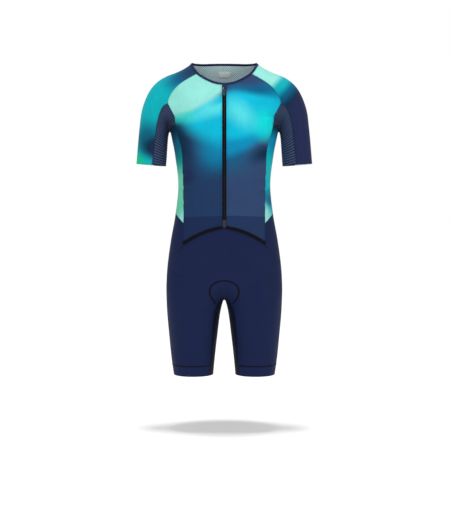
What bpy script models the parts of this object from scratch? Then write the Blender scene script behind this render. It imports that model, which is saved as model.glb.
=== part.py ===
"""A short-sleeved triathlon suit, filled out as it is worn, with nobody in it.

Metres, +Z up. The front faces -Y and the wearer's left side is at +X. The origin is on the middle
plane, level with the sides of the neck opening, where the wearer's shoulders carry the suit.
"""

import math
from collections import namedtuple

import bmesh
import bpy
import numpy as np
from mathutils import Matrix

# Cloth and sewing
CLOTH = 0.0012
HALF_SEAM, FOLD_HALF_SEAM = 0.00015, 0.00055
CLEAR = 0.0003
BAND_WIDTH, BAND_THICK, BAND_PROUD = 0.007, 0.0020, 0.0006
HEM_TAPE_WIDTH, HEM_TAPE_THICK = 0.0085, 0.0010
RIB_HEIGHT, RIBS, RIB_START = 0.0008, 24, 5
ARMHOLE_CELLS, ARMPIT_CELLS, ARMHOLE_SPLIT, UNDERSLEEVE_COLUMNS = 4, 2, 3, 5
UNDERARM_CELLS = 2 * RIBS - (ARMHOLE_CELLS + ARMPIT_CELLS) * ARMHOLE_SPLIT
UNDERARM_START = 2 * RIBS - UNDERARM_CELLS + 1
EVENING_ROUNDS = 6
TUCK_DEPTH = CLOTH + CLEAR
PAD_THICK, PAD_DEPTH = 0.0045, CLOTH + CLEAR + 0.0027
LABEL_WIDTH, LABEL_HEIGHT, LABEL_THICK, LABEL_DEPTH = 0.0395, 0.0205, 0.0010, CLOTH + CLEAR + 0.0008
LABEL_TOP, LABEL_BACK, LABEL_COLUMNS, LABEL_ROWS = -0.0165, 0.085, 4, 2

# Zip
ZIP_HALF, CHAIN_HALF = 0.0065, 0.0026
CHAIN_PROUD, CHAIN_THICK, CHAIN_ROWS = 0.0010, 0.0022, 20
GARAGE_HALF, GARAGE_PROUD, GARAGE_END, GARAGE_ROWS = 0.0063, CLOTH + CLEAR, -0.0885, 2
BOX_TOP, BOX_END, BOX_HALF, BOX_PROUD, BOX_THICK, BOX_ROWS = -0.488, -0.511, 0.0054, 0.0023, 0.0020, 2
SLIDER_AT, SLIDER_LENGTH, SLIDER_WIDTH, SLIDER_THICK = -0.0955, 0.0105, 0.0080, 0.0030
BAIL_LENGTH, BAIL_WIDTH, BAIL_GAP, BAIL_WIRE = 0.0070, 0.0020, 0.0020, 0.0012
PULL_WIDTH, PULL_LENGTH, PULL_THICK = 0.0090, 0.0200, 0.0012
PULL_BAR, PULL_WINDOW_WIDTH, PULL_WINDOW_END = 0.0006, 0.0034, 0.0052

# Body of the suit: half-width, depth in front of and behind the middle, and how square the oval is
TrunkRow = namedtuple("TrunkRow", "z half_width front back squareness")
TRUNK = [
    TrunkRow(0.060, 0.080, 0.050, 0.050, 2.0),
    TrunkRow(0.010, 0.088, 0.058, 0.062, 2.0),
    TrunkRow(-0.006, 0.098, 0.062, 0.070, 2.0),
    TrunkRow(-0.040, 0.120, 0.070, 0.088, 2.1),
    TrunkRow(-0.075, 0.138, 0.084, 0.100, 2.2),
    TrunkRow(-0.130, 0.156, 0.110, 0.111, 2.3),
    TrunkRow(-0.200, 0.168, 0.120, 0.110, 2.35),
    TrunkRow(-0.284, 0.155, 0.110, 0.097, 2.35),
    TrunkRow(-0.380, 0.1445, 0.099, 0.089, 2.3),
    TrunkRow(-0.470, 0.153, 0.098, 0.098, 2.3),
    TrunkRow(-0.560, 0.169, 0.100, 0.117, 2.3),
    TrunkRow(-0.640, 0.1795, 0.099, 0.128, 2.25),
    TrunkRow(-0.700, 0.183, 0.094, 0.122, 2.2),
    TrunkRow(-0.780, 0.182, 0.088, 0.100, 2.2),
]
LegRow = namedtuple("LegRow", "z inner outer front back")
LEG = [
    LegRow(-0.640, -0.010, 0.179, 0.096, 0.118),
    LegRow(-0.700, -0.004, 0.183, 0.092, 0.108),
    LegRow(-0.740, 0.004, 0.1825, 0.089, 0.100),
    LegRow(-0.775, 0.0117, 0.181, 0.086, 0.094),
    LegRow(-0.850, 0.0216, 0.1748, 0.079, 0.083),
    LegRow(-0.926, 0.0302, 0.1674, 0.071, 0.071),
    LegRow(-1.000, 0.037, 0.157, 0.063, 0.061),
]
LEG_SQUARENESS = 2.1
FORK_LOW, FORK_HIGH = -0.748, -0.655
FORK_ROUNDING = 0.004
ArmRow = namedtuple("ArmRow", "x y z across deep")
ARM = [
    ArmRow(0.010, 0.010, -0.036, 0.030, 0.040),
    ArmRow(0.070, 0.008, -0.052, 0.040, 0.050),
    ArmRow(0.130, 0.006, -0.074, 0.048, 0.058),
    ArmRow(0.178, 0.004, -0.104, 0.054, 0.062),
    ArmRow(0.208, 0.002, -0.150, 0.049, 0.058),
    ArmRow(0.220, 0.000, -0.208, 0.0460, 0.052),
    ArmRow(0.228, -0.003, -0.302, 0.0465, 0.049),
    ArmRow(0.236, -0.006, -0.400, 0.0465, 0.048),
]
ARM_STEPS = 80
ARMPIT_BLEND, FOLD_BLEND, SHOULDER_BLEND = 0.014, 0.056, 0.042
ARMPIT_HEIGHT, FOLD_HEIGHT, SHOULDER_HEIGHT = -0.197, -0.152, -0.105

# Open edges that lie in a plane
CUFF_CENTRE, CUFF_INNER_X, CUFF_INNER_Z, CUFF_RISE = (0.2285, -0.0035), 0.1845, -0.3225, 0.08
CUFF_FRONT, CUFF_OUTER, CUFF_BACK, CUFF_INNER = -5, 90, 185, 270
LEG_CENTRE = (0.098, 0.0)
BAND_TOP, LEG_HEM = -0.946, -0.9785
LEG_FRONT, LEG_OUTER, LEG_REAR, LEG_BACK, LEG_INNER_FRONT = -51, 112, 170, 231, 309
CUFF_REACH, LEG_REACH = 0.060, 0.110

# Seams of the wearer's left half. A mark with cells is a corner: so many cells lie before it
Mark = namedtuple("Mark", "x y z cells")
NECKLINE = [
    Mark(0.0065, -0.0850, -0.0765, 0),
    Mark(0.0250, -0.0840, -0.0735, 0),
    Mark(0.0550, -0.0750, -0.0610, 0),
    Mark(0.0854, -0.0570, -0.0410, 7),
    Mark(0.0985, -0.0330, -0.0215, 0),
    Mark(0.1045, -0.0030, -0.0080, 4),
    Mark(0.0970, 0.0300, -0.0035, 0),
    Mark(0.0760, 0.0520, -0.0020, 4),
    Mark(0.0400, 0.0660, -0.0010, 0),
    Mark(0.0000, 0.0700, -0.0010, 6),
]
FRONT_SEAM = [
    Mark(0.0854, -0.0570, -0.0410, 0),
    Mark(0.1220, -0.0555, -0.0610, 0),
    Mark(0.1470, -0.0560, -0.0800, 0),
    Mark(0.1620, -0.0570, -0.0990, 0),
    Mark(0.1715, -0.0555, -0.1180, 0),
    Mark(0.1745, -0.0535, -0.1295, 7),
    Mark(0.1690, -0.0540, -0.1400, 0),
    Mark(0.1630, -0.0550, -0.1520, 0),
    Mark(0.1575, -0.0570, -0.1660, 0),
    Mark(0.1530, -0.0600, -0.1820, 0),
    Mark(0.1495, -0.0640, -0.1985, ARMHOLE_CELLS),
    Mark(0.1390, -0.0720, -0.2430, 0),
    Mark(0.1310, -0.0700, -0.2750, 0),
    Mark(0.1270, -0.0560, -0.3500, 0),
    Mark(0.1265, -0.0550, -0.4100, 0),
    Mark(0.1255, -0.0630, -0.4700, 0),
    Mark(0.1265, -0.0660, -0.4990, 11),
    Mark(0.1255, -0.0710, -0.5300, 0),
    Mark(0.1250, -0.0740, -0.5655, 3),
]
BACK_SEAM = [
    Mark(0.0760, 0.0520, -0.0020, 0),
    Mark(0.1050, 0.0620, -0.0350, 0),
    Mark(0.1350, 0.0680, -0.0660, 0),
    Mark(0.1580, 0.0660, -0.0980, 0),
    Mark(0.1700, 0.0600, -0.1180, 0),
    Mark(0.1745, 0.0550, -0.1300, 7),
    Mark(0.1690, 0.0560, -0.1400, 0),
    Mark(0.1635, 0.0580, -0.1520, 0),
    Mark(0.1580, 0.0600, -0.1660, 0),
    Mark(0.1535, 0.0620, -0.1820, 0),
    Mark(0.1500, 0.0650, -0.1985, ARMHOLE_CELLS),
    Mark(0.1400, 0.0750, -0.2430, 0),
    Mark(0.1320, 0.0720, -0.2750, 0),
    Mark(0.1270, 0.0600, -0.3500, 0),
    Mark(0.1270, 0.0600, -0.4100, 0),
    Mark(0.1300, 0.0640, -0.4580, 11),
]
ARMPIT = [
    Mark(0.1495, -0.0640, -0.1985, 0),
    Mark(0.1640, -0.0330, -0.1995, 0),
    Mark(0.1710, -0.0020, -0.1990, ARMPIT_CELLS),
    Mark(0.1640, 0.0350, -0.1995, 0),
    Mark(0.1500, 0.0650, -0.1985, ARMPIT_CELLS),
]
SHOULDER_LINE = [
    Mark(0.1045, -0.0030, -0.0080, 0),
    Mark(0.1310, 0.0010, -0.0190, 0),
    Mark(0.1630, 0.0020, -0.0320, 0),
    Mark(0.1960, 0.0020, -0.0450, 0),
    Mark(0.2320, 0.0020, -0.0690, 7),
    Mark(0.2460, 0.0020, -0.0970, 0),
    Mark(0.2590, 0.0010, -0.1700, 0),
    Mark(0.2680, -0.0010, -0.2450, 0),
    Mark(0.2745, -0.0035, -0.3153, RIBS),
]
SLEEVE_FRONT = [
    Mark(0.1745, -0.0535, -0.1295, 0),
    Mark(0.1865, -0.0550, -0.1370, 0),
    Mark(0.1970, -0.0540, -0.1530, 0),
    Mark(0.2045, -0.0520, -0.1740, 0),
    Mark(0.2100, -0.0510, -0.2000, 0),
    Mark(0.2140, -0.0505, -0.2320, 0),
    Mark(0.2240, -0.0520, -0.3193, 2 * RIBS),
]
SLEEVE_BACK = [
    Mark(0.1745, 0.0550, -0.1300, 0),
    Mark(0.1870, 0.0570, -0.1380, 0),
    Mark(0.1980, 0.0560, -0.1550, 0),
    Mark(0.2060, 0.0540, -0.1760, 0),
    Mark(0.2110, 0.0520, -0.2020, 0),
    Mark(0.2150, 0.0500, -0.2330, 0),
    Mark(0.2245, 0.0450, -0.3193, 2 * RIBS),
]
UNDERARM = [
    Mark(0.1710, -0.0020, -0.1990, 0),
    Mark(0.1745, 0.0000, -0.2130, 0),
    Mark(0.1785, -0.0010, -0.2500, 0),
    Mark(0.1845, -0.0035, -0.3225, UNDERARM_CELLS),
]
SIDE_HEM = [
    Mark(0.1265, -0.0660, -0.4990, 0),
    Mark(0.1490, -0.0310, -0.4745, 0),
    Mark(0.1530, 0.0000, -0.4650, 2),
    Mark(0.1470, 0.0350, -0.4600, 0),
    Mark(0.1300, 0.0640, -0.4580, 2),
]
BACK_WAIST = [
    Mark(0.1300, 0.0640, -0.4580, 0),
    Mark(0.0700, 0.0930, -0.4550, 0),
    Mark(0.0000, 0.0980, -0.4540, 6),
]
ARCH = [
    Mark(0.0065, -0.0985, -0.5160, 0),
    Mark(0.0440, -0.0965, -0.5250, 0),
    Mark(0.0820, -0.0900, -0.5405, 0),
    Mark(0.1250, -0.0740, -0.5655, 7),
]
HIP_SEAM = [
    Mark(0.1250, -0.0740, -0.5655, 0),
    Mark(0.1500, -0.0550, -0.5960, 0),
    Mark(0.1740, -0.0240, -0.6280, 0),
    Mark(0.1820, 0.0000, -0.6650, 0),
    Mark(0.1800, 0.0230, -0.7200, 0),
    Mark(0.1730, 0.0300, -0.8000, 0),
    Mark(0.1650, 0.0280, -0.8800, 0),
    Mark(0.1550, 0.0240, BAND_TOP, 18),
]
SEAT_LINE = [
    Mark(0.1300, 0.0640, -0.4580, 0),
    Mark(0.1290, 0.0850, -0.5600, 0),
    Mark(0.1250, 0.1000, -0.6500, 0),
    Mark(0.1200, 0.0950, -0.7400, 0),
    Mark(0.1150, 0.0820, -0.8500, 0),
    Mark(0.1080, 0.0680, BAND_TOP, 21),
]
CENTRE_BACK = [
    Mark(0.0000, 0.0980, -0.4540, 0),
    Mark(0.0000, 0.1170, -0.5600, 0),
    Mark(0.0000, 0.1240, -0.6500, 0),
    Mark(0.0000, 0.1050, -0.7050, 0),
    Mark(0.0000, 0.0450, -0.7370, 12),
]
FRONT_INSEAM = [
    Mark(0.0000, -0.0400, -0.7350, 0),
    Mark(0.0180, -0.0500, -0.7480, 0),
    Mark(0.0290, -0.0560, -0.7670, 0),
    Mark(0.0353, -0.0555, -0.8050, 0),
    Mark(0.0401, -0.0500, -0.8690, 0),
    Mark(0.0445, -0.0430, BAND_TOP, 9),
    Mark(0.0495, -0.0430, LEG_HEM, 2),
]
BACK_INSEAM = [
    Mark(0.0000, 0.0450, -0.7370, 0),
    Mark(0.0200, 0.0560, -0.7500, 0),
    Mark(0.0320, 0.0640, -0.7720, 0),
    Mark(0.0380, 0.0620, -0.8100, 0),
    Mark(0.0420, 0.0540, -0.8740, 0),
    Mark(0.0450, 0.0440, BAND_TOP, 9),
    Mark(0.0500, 0.0420, LEG_HEM, 2),
]
CROTCH = [
    Mark(0.0000, -0.0400, -0.7350, 0),
    Mark(0.0000, 0.0000, -0.7400, 0),
    Mark(0.0000, 0.0450, -0.7370, 3),
]
CENTRE_FRONT = [
    Mark(0.0000, -0.0985, -0.5240, 0),
    Mark(0.0000, -0.1000, -0.6000, 0),
    Mark(0.0000, -0.0950, -0.6800, 0),
    Mark(0.0000, -0.0750, -0.7200, 0),
    Mark(0.0000, -0.0400, -0.7350, 8),
]
TUCK_TOP, TUCK_CELLS = -0.4790, 3
TUCK_CORNER = (0.1210, -0.0650, TUCK_TOP)

# Padded seat, from its front edge under the crotch to its back edge
PadRow = namedtuple("PadRow", "half_width y z")
PAD = [
    PadRow(0.0120, -0.0950, -0.6790),
    PadRow(0.0320, -0.0940, -0.6860),
    PadRow(0.0440, -0.0900, -0.7020),
    PadRow(0.0440, -0.0800, -0.7160),
    PadRow(0.0330, -0.0620, -0.7280),
    PadRow(0.0190, -0.0300, -0.7380),
    PadRow(0.0160, 0.0100, -0.7400),
    PadRow(0.0260, 0.0500, -0.7360),
    PadRow(0.0460, 0.0850, -0.7200),
    PadRow(0.0560, 0.1080, -0.6980),
    PadRow(0.0460, 0.1180, -0.6740),
    PadRow(0.0160, 0.1220, -0.6600),
]
PAD_COLUMNS = 6

Paint = namedtuple("Paint", "colour roughness metallic")
PAINTS = {
    "print_cyan": Paint((0.010, 0.420, 0.560), 0.55, 0.0),
    "print_teal": Paint((0.010, 0.270, 0.330), 0.55, 0.0),
    "print_mint": Paint((0.190, 0.720, 0.540), 0.55, 0.0),
    "navy_lycra": Paint((0.017, 0.027, 0.092), 0.50, 0.0),
    "ribbed_navy": Paint((0.024, 0.031, 0.070), 0.65, 0.0),
    "black_trim": Paint((0.006, 0.006, 0.010), 0.60, 0.0),
    "zip_plastic": Paint((0.008, 0.008, 0.011), 0.35, 0.0),
    "pad_foam": Paint((0.020, 0.024, 0.040), 0.85, 0.0),
    "label_grey": Paint((0.420, 0.450, 0.470), 0.70, 0.0),
}


def between(keys, values, at):
    """Rows of a table read smoothly at other keys."""
    keys, values = np.asarray(keys, float), np.asarray(values, float)
    if keys[0] > keys[-1]:
        keys, values = keys[::-1], values[::-1]
    slopes = np.gradient(values, keys, axis=0)
    at = np.clip(at, keys[0], keys[-1])
    low = np.clip(np.searchsorted(keys, at) - 1, 0, len(keys) - 2)
    step = (keys[low + 1] - keys[low])[:, None]
    t = (at - keys[low])[:, None] / step
    start, end = values[low], values[low + 1]
    leave, arrive = slopes[low] * step, slopes[low + 1] * step
    return (
        (2 * t**3 - 3 * t**2 + 1) * start
        + (t**3 - 2 * t**2 + t) * leave
        + (3 * t**2 - 2 * t**3) * end
        + (t**3 - t**2) * arrive
    )


def ease(low, high, at):
    t = np.clip((at - low) / (high - low), 0.0, 1.0)
    return t * t * (3.0 - 2.0 * t)


def oval_gap(x, y, half_width, front, back, squareness):
    """Signed distance, roughly, from an oval whose front and back differ in depth."""
    deep = np.where(y < 0, front, back)
    ratio = (np.abs(x) / half_width) ** squareness + (np.abs(y) / deep) ** squareness
    radius = np.hypot(x, y)
    return radius - radius / np.maximum(ratio ** (1 / squareness), 1e-9)


def arm_rows():
    keys = np.arange(len(ARM), dtype=float)
    return between(keys, np.array(ARM), np.linspace(0, len(ARM) - 1, ARM_STEPS + 1))


ARM_LINE = arm_rows()


def arm_gap(points):
    """Signed distance, roughly, from the left sleeve, an oval swept along the arm's line."""
    start, run = ARM_LINE[:-1], np.diff(ARM_LINE, axis=0)
    offset = points[:, None, :] - start[None, :, :3]
    share = np.einsum("nsk,sk->ns", offset, run[:, :3]) / (run[:, :3] ** 2).sum(1)
    near = start[None] + np.clip(share, 0, 1)[..., None] * run[None]
    offset = points[:, None, :] - near[..., :3]
    rows, best = np.arange(len(points)), (offset**2).sum(2).argmin(1)
    offset, near, run = offset[rows, best], near[rows, best], run[best, :3]
    along = run / np.linalg.norm(run, axis=1)[:, None]
    across = np.cross((0.0, 1.0, 0.0), along)
    across /= np.linalg.norm(across, axis=1)[:, None]
    deep = np.cross(along, across)
    parts = [
        (offset * across).sum(1) / near[:, 3],
        (offset * deep).sum(1) / near[:, 4],
        (offset * along).sum(1) / near[:, 3],
    ]
    radius = np.linalg.norm(offset, axis=1)
    return radius - radius / np.maximum(np.linalg.norm(parts, axis=0), 1e-9)


def form(points):
    """The outer face of the cloth is where this is zero: it is negative inside the suit."""
    x, y, z = points.T
    trunk = oval_gap(x, y, *between([r.z for r in TRUNK], [r[1:] for r in TRUNK], z).T)
    inner, outer, front, back = between([r.z for r in LEG], [r[1:] for r in LEG], z).T
    aside = np.sqrt(x**2 + FORK_ROUNDING**2) - (inner + outer) / 2
    leg = oval_gap(aside, y, (outer - inner) / 2, front, back, LEG_SQUARENESS)
    share = ease(FORK_LOW, FORK_HIGH, z)
    body = share * trunk + (1 - share) * leg
    arm = arm_gap(np.column_stack([np.abs(x), y, z]))
    blend = ARMPIT_BLEND + (FOLD_BLEND - ARMPIT_BLEND) * ease(ARMPIT_HEIGHT, FOLD_HEIGHT, z)
    blend += (SHOULDER_BLEND - FOLD_BLEND) * ease(FOLD_HEIGHT, SHOULDER_HEIGHT, z)
    near = np.maximum(blend - np.abs(body - arm), 0) / blend
    return np.minimum(body, arm) - near**2 * blend / 4


def slope(points, step=0.0004):
    """The form's gradient, by small steps each way."""
    parts = [form(points + move) - form(points - move) for move in np.eye(3) * step]
    return np.stack(parts, axis=1) / (2 * step)


def land(points, rounds=12, longest=0.01):
    """Points moved to the form's surface, the short way."""
    points = np.array(points, float).reshape(-1, 3)
    on_middle = points[:, 0] == 0
    for _ in range(rounds):
        away = slope(points)
        move = -form(points)[:, None] * away / (away**2).sum(1)[:, None]
        size = np.linalg.norm(move, axis=1)[:, None]
        points += move * np.minimum(1, longest / np.maximum(size, 1e-12))
        points[on_middle, 0] = 0
    return points


def outward(points):
    away = slope(points)
    away[points[:, 0] == 0, 0] = 0
    return away / np.linalg.norm(away, axis=1)[:, None]


def lengths(points):
    return np.append(0, np.cumsum(np.linalg.norm(np.diff(points, axis=0), axis=1)))


def resampled(points, shares):
    run = lengths(points)
    return np.column_stack([np.interp(np.asarray(shares) * run[-1], run, axis) for axis in points.T])


def stretches(marks):
    """The curve through the marks, on the form, cut into cells between its corners."""
    corners = land([mark[:3] for mark in marks])
    keys = lengths(corners)
    found, start = [], 0
    for end, mark in enumerate(marks):
        if not mark.cells:
            continue
        fine = land(between(keys, corners, np.linspace(keys[start], keys[end], 120)))
        points = land(resampled(fine, np.linspace(0, 1, mark.cells + 1)))
        points[0], points[-1] = corners[start], corners[end]
        found.append(points)
        start = end
    return found


def joined(*runs):
    """Runs end to end, with each shared point once."""
    return np.concatenate([runs[0]] + [run[1:] for run in runs[1:]])


def ring(first, last, cells, centre, reach, level):
    """Where rays from a centre meet the form. Angles are in degrees from the front, outwards."""
    angles = np.radians(np.linspace(first, last, cells + 1))
    low, high = np.zeros(cells + 1), np.full(cells + 1, reach)
    for _ in range(40):
        middle = (low + high) / 2
        x, y = centre[0] + middle * np.sin(angles), centre[1] - middle * np.cos(angles)
        points = np.column_stack([x, y, level(x)])
        inside = form(points) < 0
        low, high = np.where(inside, middle, low), np.where(inside, high, middle)
    return points


def cuff(first, last, cells):
    def level(x):
        return CUFF_INNER_Z + CUFF_RISE * (x - CUFF_INNER_X)

    return ring(first, last, cells, CUFF_CENTRE, CUFF_REACH, level)


def leg_ring(first, last, cells, height):
    return ring(first, last, cells, LEG_CENTRE, LEG_REACH, lambda x: np.full(len(x), height))


def divided(points, parts):
    """Each straight step of a row cut into equal parts."""
    at = np.linspace(0, len(points) - 1, parts * (len(points) - 1) + 1)
    return np.column_stack([np.interp(at, np.arange(len(points)), axis) for axis in points.T])


def shared_run(one, other):
    """How far along each point of two facing edges lies, from 0 to 1. An edge may be a single tip."""
    runs = [lengths(edge) for edge in (one, other)]
    return np.mean([run / run[-1] for run in runs if run[-1] > 0], axis=0)


def patch(left, right, top, bottom):
    """A grid between four edges that meet at its corners, on the form."""
    for edge, side in ((top, left), (bottom, left[::-1])):
        edge[0] = side[0]
    for edge, side in ((top, right), (bottom, right[::-1])):
        edge[-1] = side[0]
    v = shared_run(left, right)[:, None, None]
    u = shared_run(top, bottom)[None, :, None]
    grid = (1 - u) * left[:, None] + u * right[:, None] + (1 - v) * top[None] + v * bottom[None]
    grid -= (1 - u) * (1 - v) * left[0] + u * (1 - v) * right[0]
    grid -= (1 - u) * v * left[-1] + u * v * right[-1]
    inner = grid[1:-1, 1:-1]
    grid[1:-1, 1:-1] = land(inner).reshape(inner.shape)
    grid[:, 0], grid[:, -1], grid[0], grid[-1] = left, right, top, bottom
    return grid


def evened(grid, rounds):
    """The grid with its inner points drawn to the middle of their neighbours, on the form."""
    for _ in range(rounds):
        inner = grid[1:-1, 1:-1]
        middle = (grid[:-2, 1:-1] + grid[2:, 1:-1] + grid[1:-1, :-2] + grid[1:-1, 2:]) / 4
        grid[1:-1, 1:-1] = land(middle, rounds=4).reshape(inner.shape)
    return grid


def beside(*grids):
    return np.concatenate([grids[0]] + [grid[:, 1:] for grid in grids[1:]], axis=1)


def below(*grids):
    return np.concatenate([grids[0]] + [grid[1:] for grid in grids[1:]], axis=0)


def mirrored(grid):
    return grid * np.array((-1.0, 1.0, 1.0))


def moved_along(points, distance, towards):
    """Points moved over the form at right angles to their row, to the side of a direction."""
    ahead = np.gradient(points, axis=0)
    sideways = np.cross(outward(points), ahead)
    sideways /= np.linalg.norm(sideways, axis=1)[:, None]
    sideways *= np.sign(sideways @ np.asarray(towards, float))[:, None]
    return land(points + sideways * distance)


def cloth_material(name):
    material = bpy.data.materials.get(name) or bpy.data.materials.new(name)
    material.use_nodes = True
    paint = PAINTS[name]
    shader = material.node_tree.nodes["Principled BSDF"]
    shader.inputs["Base Color"].default_value = (*paint.colour, 1.0)
    shader.inputs["Roughness"].default_value = paint.roughness
    shader.inputs["Metallic"].default_value = paint.metallic
    return material


def add_object(name, mesh, paint, collection):
    """An object of its own for a finished bmesh, shaded smooth."""
    data = bpy.data.meshes.new(name)
    mesh.to_mesh(data)
    mesh.free()
    data.materials.append(cloth_material(paint))
    data.shade_smooth()
    data.set_sharp_from_angle(angle=math.radians(40))
    obj = bpy.data.objects.new(name, data)
    collection.objects.link(obj)
    return obj


def sheet(grids, heights):
    """An open bmesh sheet through the grids, welded where they share points."""
    mesh = bmesh.new()
    mesh.verts.layers.float.new("raised")
    mesh.verts.layers.int.new("spot")
    raised = mesh.verts.layers.float["raised"]
    for grid, height in zip(grids, heights):
        rows, columns = grid.shape[0] - 1, grid.shape[1] - 1
        made = bmesh.ops.create_grid(mesh, x_segments=columns, y_segments=rows, size=1.0)
        for vert in made["verts"]:
            column = round((vert.co.x + 1) / 2 * columns)
            row = round((vert.co.y + 1) / 2 * rows)
            vert.co = grid[row, column]
            vert[raised] = height[row, column]
    bmesh.ops.remove_doubles(mesh, verts=mesh.verts, dist=1e-6)
    bmesh.ops.recalc_face_normals(mesh, faces=mesh.faces)
    middle = mesh.faces[:][len(mesh.faces) // 2]
    away = outward(np.array([middle.calc_center_median()]))[0]
    if middle.normal.dot(away.tolist()) < 0:
        bmesh.ops.reverse_faces(mesh, faces=mesh.faces)
    return mesh, raised, mesh.verts.layers.int["spot"]


def pull_back_edges(mesh, distance):
    """Moves the sheet's open edges inwards by half the gap that a seam has."""
    inwards = {}
    for edge in mesh.edges:
        if not edge.is_boundary:
            continue
        face = edge.link_faces[0]
        run = edge.verts[1].co - edge.verts[0].co
        side = face.normal.cross(run).normalized()
        if side.dot(face.calc_center_median() - edge.verts[0].co) < 0:
            side.negate()
        for vert in edge.verts:
            inwards.setdefault(vert, []).append(side)
    for vert, sides in inwards.items():
        total = sides[0] + sides[1]
        vert.co += total * distance / max(1 + sides[0].dot(sides[1]), 0.25)


def wall(name, grids, paint, collection, lift=0.0, thick=CLOTH, heights=None, half_seam=HALF_SEAM):
    """A closed wall of cloth: its outer face lies on the form, or lift above it."""
    heights = heights or [np.zeros(grid.shape[:2]) for grid in grids]
    mesh, raised, spot = sheet(grids, heights)
    pull_back_edges(mesh, half_seam)
    base = mesh.verts[:]
    away = outward(np.array([vert.co for vert in base]))
    for index, vert in enumerate(base):
        vert[spot] = index
    made = bmesh.ops.extrude_face_region(mesh, geom=mesh.faces[:])["geom"]
    for vert in made:
        if isinstance(vert, bmesh.types.BMVert):
            vert.co = np.array(vert.co) + away[vert[spot]] * (lift + vert[raised])
    for index, vert in enumerate(base):
        vert.co = np.array(vert.co) + away[index] * (lift - thick)
    bmesh.ops.recalc_face_normals(mesh, faces=mesh.faces)
    if mesh.calc_volume(signed=True) < 0:
        bmesh.ops.reverse_faces(mesh, faces=mesh.faces)
    return add_object(name, mesh, paint, collection)


def pair(name, grids, paint, collection, **options):
    """The same wall on both sides of the suit."""
    wall(name + "_left", grids, paint, collection, **options)
    wall(name + "_right", [mirrored(grid) for grid in grids], paint, collection, **options)


def at_height(half, front, heights):
    """A line down the front at one distance from the middle."""
    return land([(half, front, height) for height in heights])


class Seams:
    """Every seam of the wearer's left half, cut into matching cells."""

    def __init__(self):
        self.neck_front, self.neck_fore, self.neck_aft, self.neck_back = stretches(NECKLINE)
        self.raglan_front, self.armhole_front, self.side_front, self.hip_front = stretches(FRONT_SEAM)
        self.raglan_back, self.armhole_back, self.side_back = stretches(BACK_SEAM)
        self.armpit_front, self.armpit_back = stretches(ARMPIT)
        self.shoulder_top, self.arm_outer = stretches(SHOULDER_LINE)
        self.sleeve_front = stretches(SLEEVE_FRONT)[0]
        self.sleeve_back = stretches(SLEEVE_BACK)[0]
        self.underarm = stretches(UNDERARM)[0]
        self.side_hem_front, self.side_hem_back = stretches(SIDE_HEM)
        self.back_waist = stretches(BACK_WAIST)[0]
        self.arch = stretches(ARCH)[0]
        self.hip = stretches(HIP_SEAM)[0]
        self.seat_line = stretches(SEAT_LINE)[0]
        self.centre_back = stretches(CENTRE_BACK)[0]
        self.front_inseam, self.front_inseam_band = stretches(FRONT_INSEAM)
        self.back_inseam, self.back_inseam_band = stretches(BACK_INSEAM)
        self.crotch = stretches(CROTCH)[0]
        self.centre_front = stretches(CENTRE_FRONT)[0]
        self.set_open_edges()

    def set_open_edges(self):
        """Cuffs and leg hems, and the seam ends that lie on them."""
        self.cuff_fore = cuff(CUFF_FRONT, CUFF_OUTER, len(self.neck_fore) - 1)
        self.cuff_aft = cuff(CUFF_OUTER, CUFF_BACK, len(self.neck_aft) - 1)
        self.cuff_inner_back = cuff(CUFF_BACK, CUFF_INNER, UNDERSLEEVE_COLUMNS)
        self.cuff_inner_front = cuff(CUFF_INNER - 360, CUFF_FRONT, UNDERSLEEVE_COLUMNS)
        self.sleeve_front[-1], self.arm_outer[-1] = self.cuff_fore[0], self.cuff_aft[0]
        self.sleeve_back[-1], self.underarm[-1] = self.cuff_aft[-1], self.cuff_inner_back[-1]
        self.cuff_inner_front[0] = self.underarm[-1]
        front, side = len(self.arch) - 1, len(self.side_hem_front) + len(self.side_hem_back) - 2
        waist, inner = len(self.back_waist) - 1, len(self.crotch) - 1
        self.band_top_front = leg_ring(LEG_FRONT, LEG_OUTER, front, BAND_TOP)
        self.band_top_side = leg_ring(LEG_OUTER, LEG_REAR, side, BAND_TOP)
        self.band_top_back = leg_ring(LEG_REAR, LEG_BACK, waist, BAND_TOP)
        self.hem_front = leg_ring(LEG_FRONT, LEG_OUTER, front, LEG_HEM)
        self.hem_side = leg_ring(LEG_OUTER, LEG_REAR, side, LEG_HEM)
        self.hem_back = leg_ring(LEG_REAR, LEG_BACK, waist, LEG_HEM)
        self.hem_inner = leg_ring(LEG_INNER_FRONT, LEG_BACK, inner, LEG_HEM)
        self.front_inseam[-1] = self.front_inseam_band[0] = self.band_top_front[0]
        self.back_inseam[-1] = self.back_inseam_band[0] = self.band_top_back[-1]
        self.front_inseam_band[-1], self.back_inseam_band[-1] = self.hem_front[0], self.hem_back[-1]
        self.hip[-1], self.seat_line[-1] = self.band_top_front[-1], self.band_top_side[-1]


def front_grid(s):
    outer = joined(s.raglan_front, s.armhole_front, s.side_front, s.hip_front)
    shares = lengths(outer) / lengths(outer)[-1]
    heights = s.neck_front[0][2] + shares * (s.arch[0][2] - s.neck_front[0][2])
    inner = at_height(ZIP_HALF, -0.1, heights)
    inner[0], inner[-1] = s.neck_front[0], s.arch[0]
    return patch(inner, outer, s.neck_front, s.arch)


def back_grid(s):
    outer = joined(s.raglan_back, s.armhole_back, s.side_back)
    shares = lengths(outer) / lengths(outer)[-1]
    heights = s.neck_back[-1][2] + shares * (s.back_waist[-1][2] - s.neck_back[-1][2])
    middle = at_height(0.0, 0.1, heights)
    middle[0], middle[-1] = s.neck_back[-1], s.back_waist[-1]
    return patch(outer, middle, s.neck_back, s.back_waist)


def side_grid(s):
    armpit = joined(s.armpit_front, s.armpit_back)
    return patch(s.side_front, s.side_back, armpit, joined(s.side_hem_front, s.side_hem_back))


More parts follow.
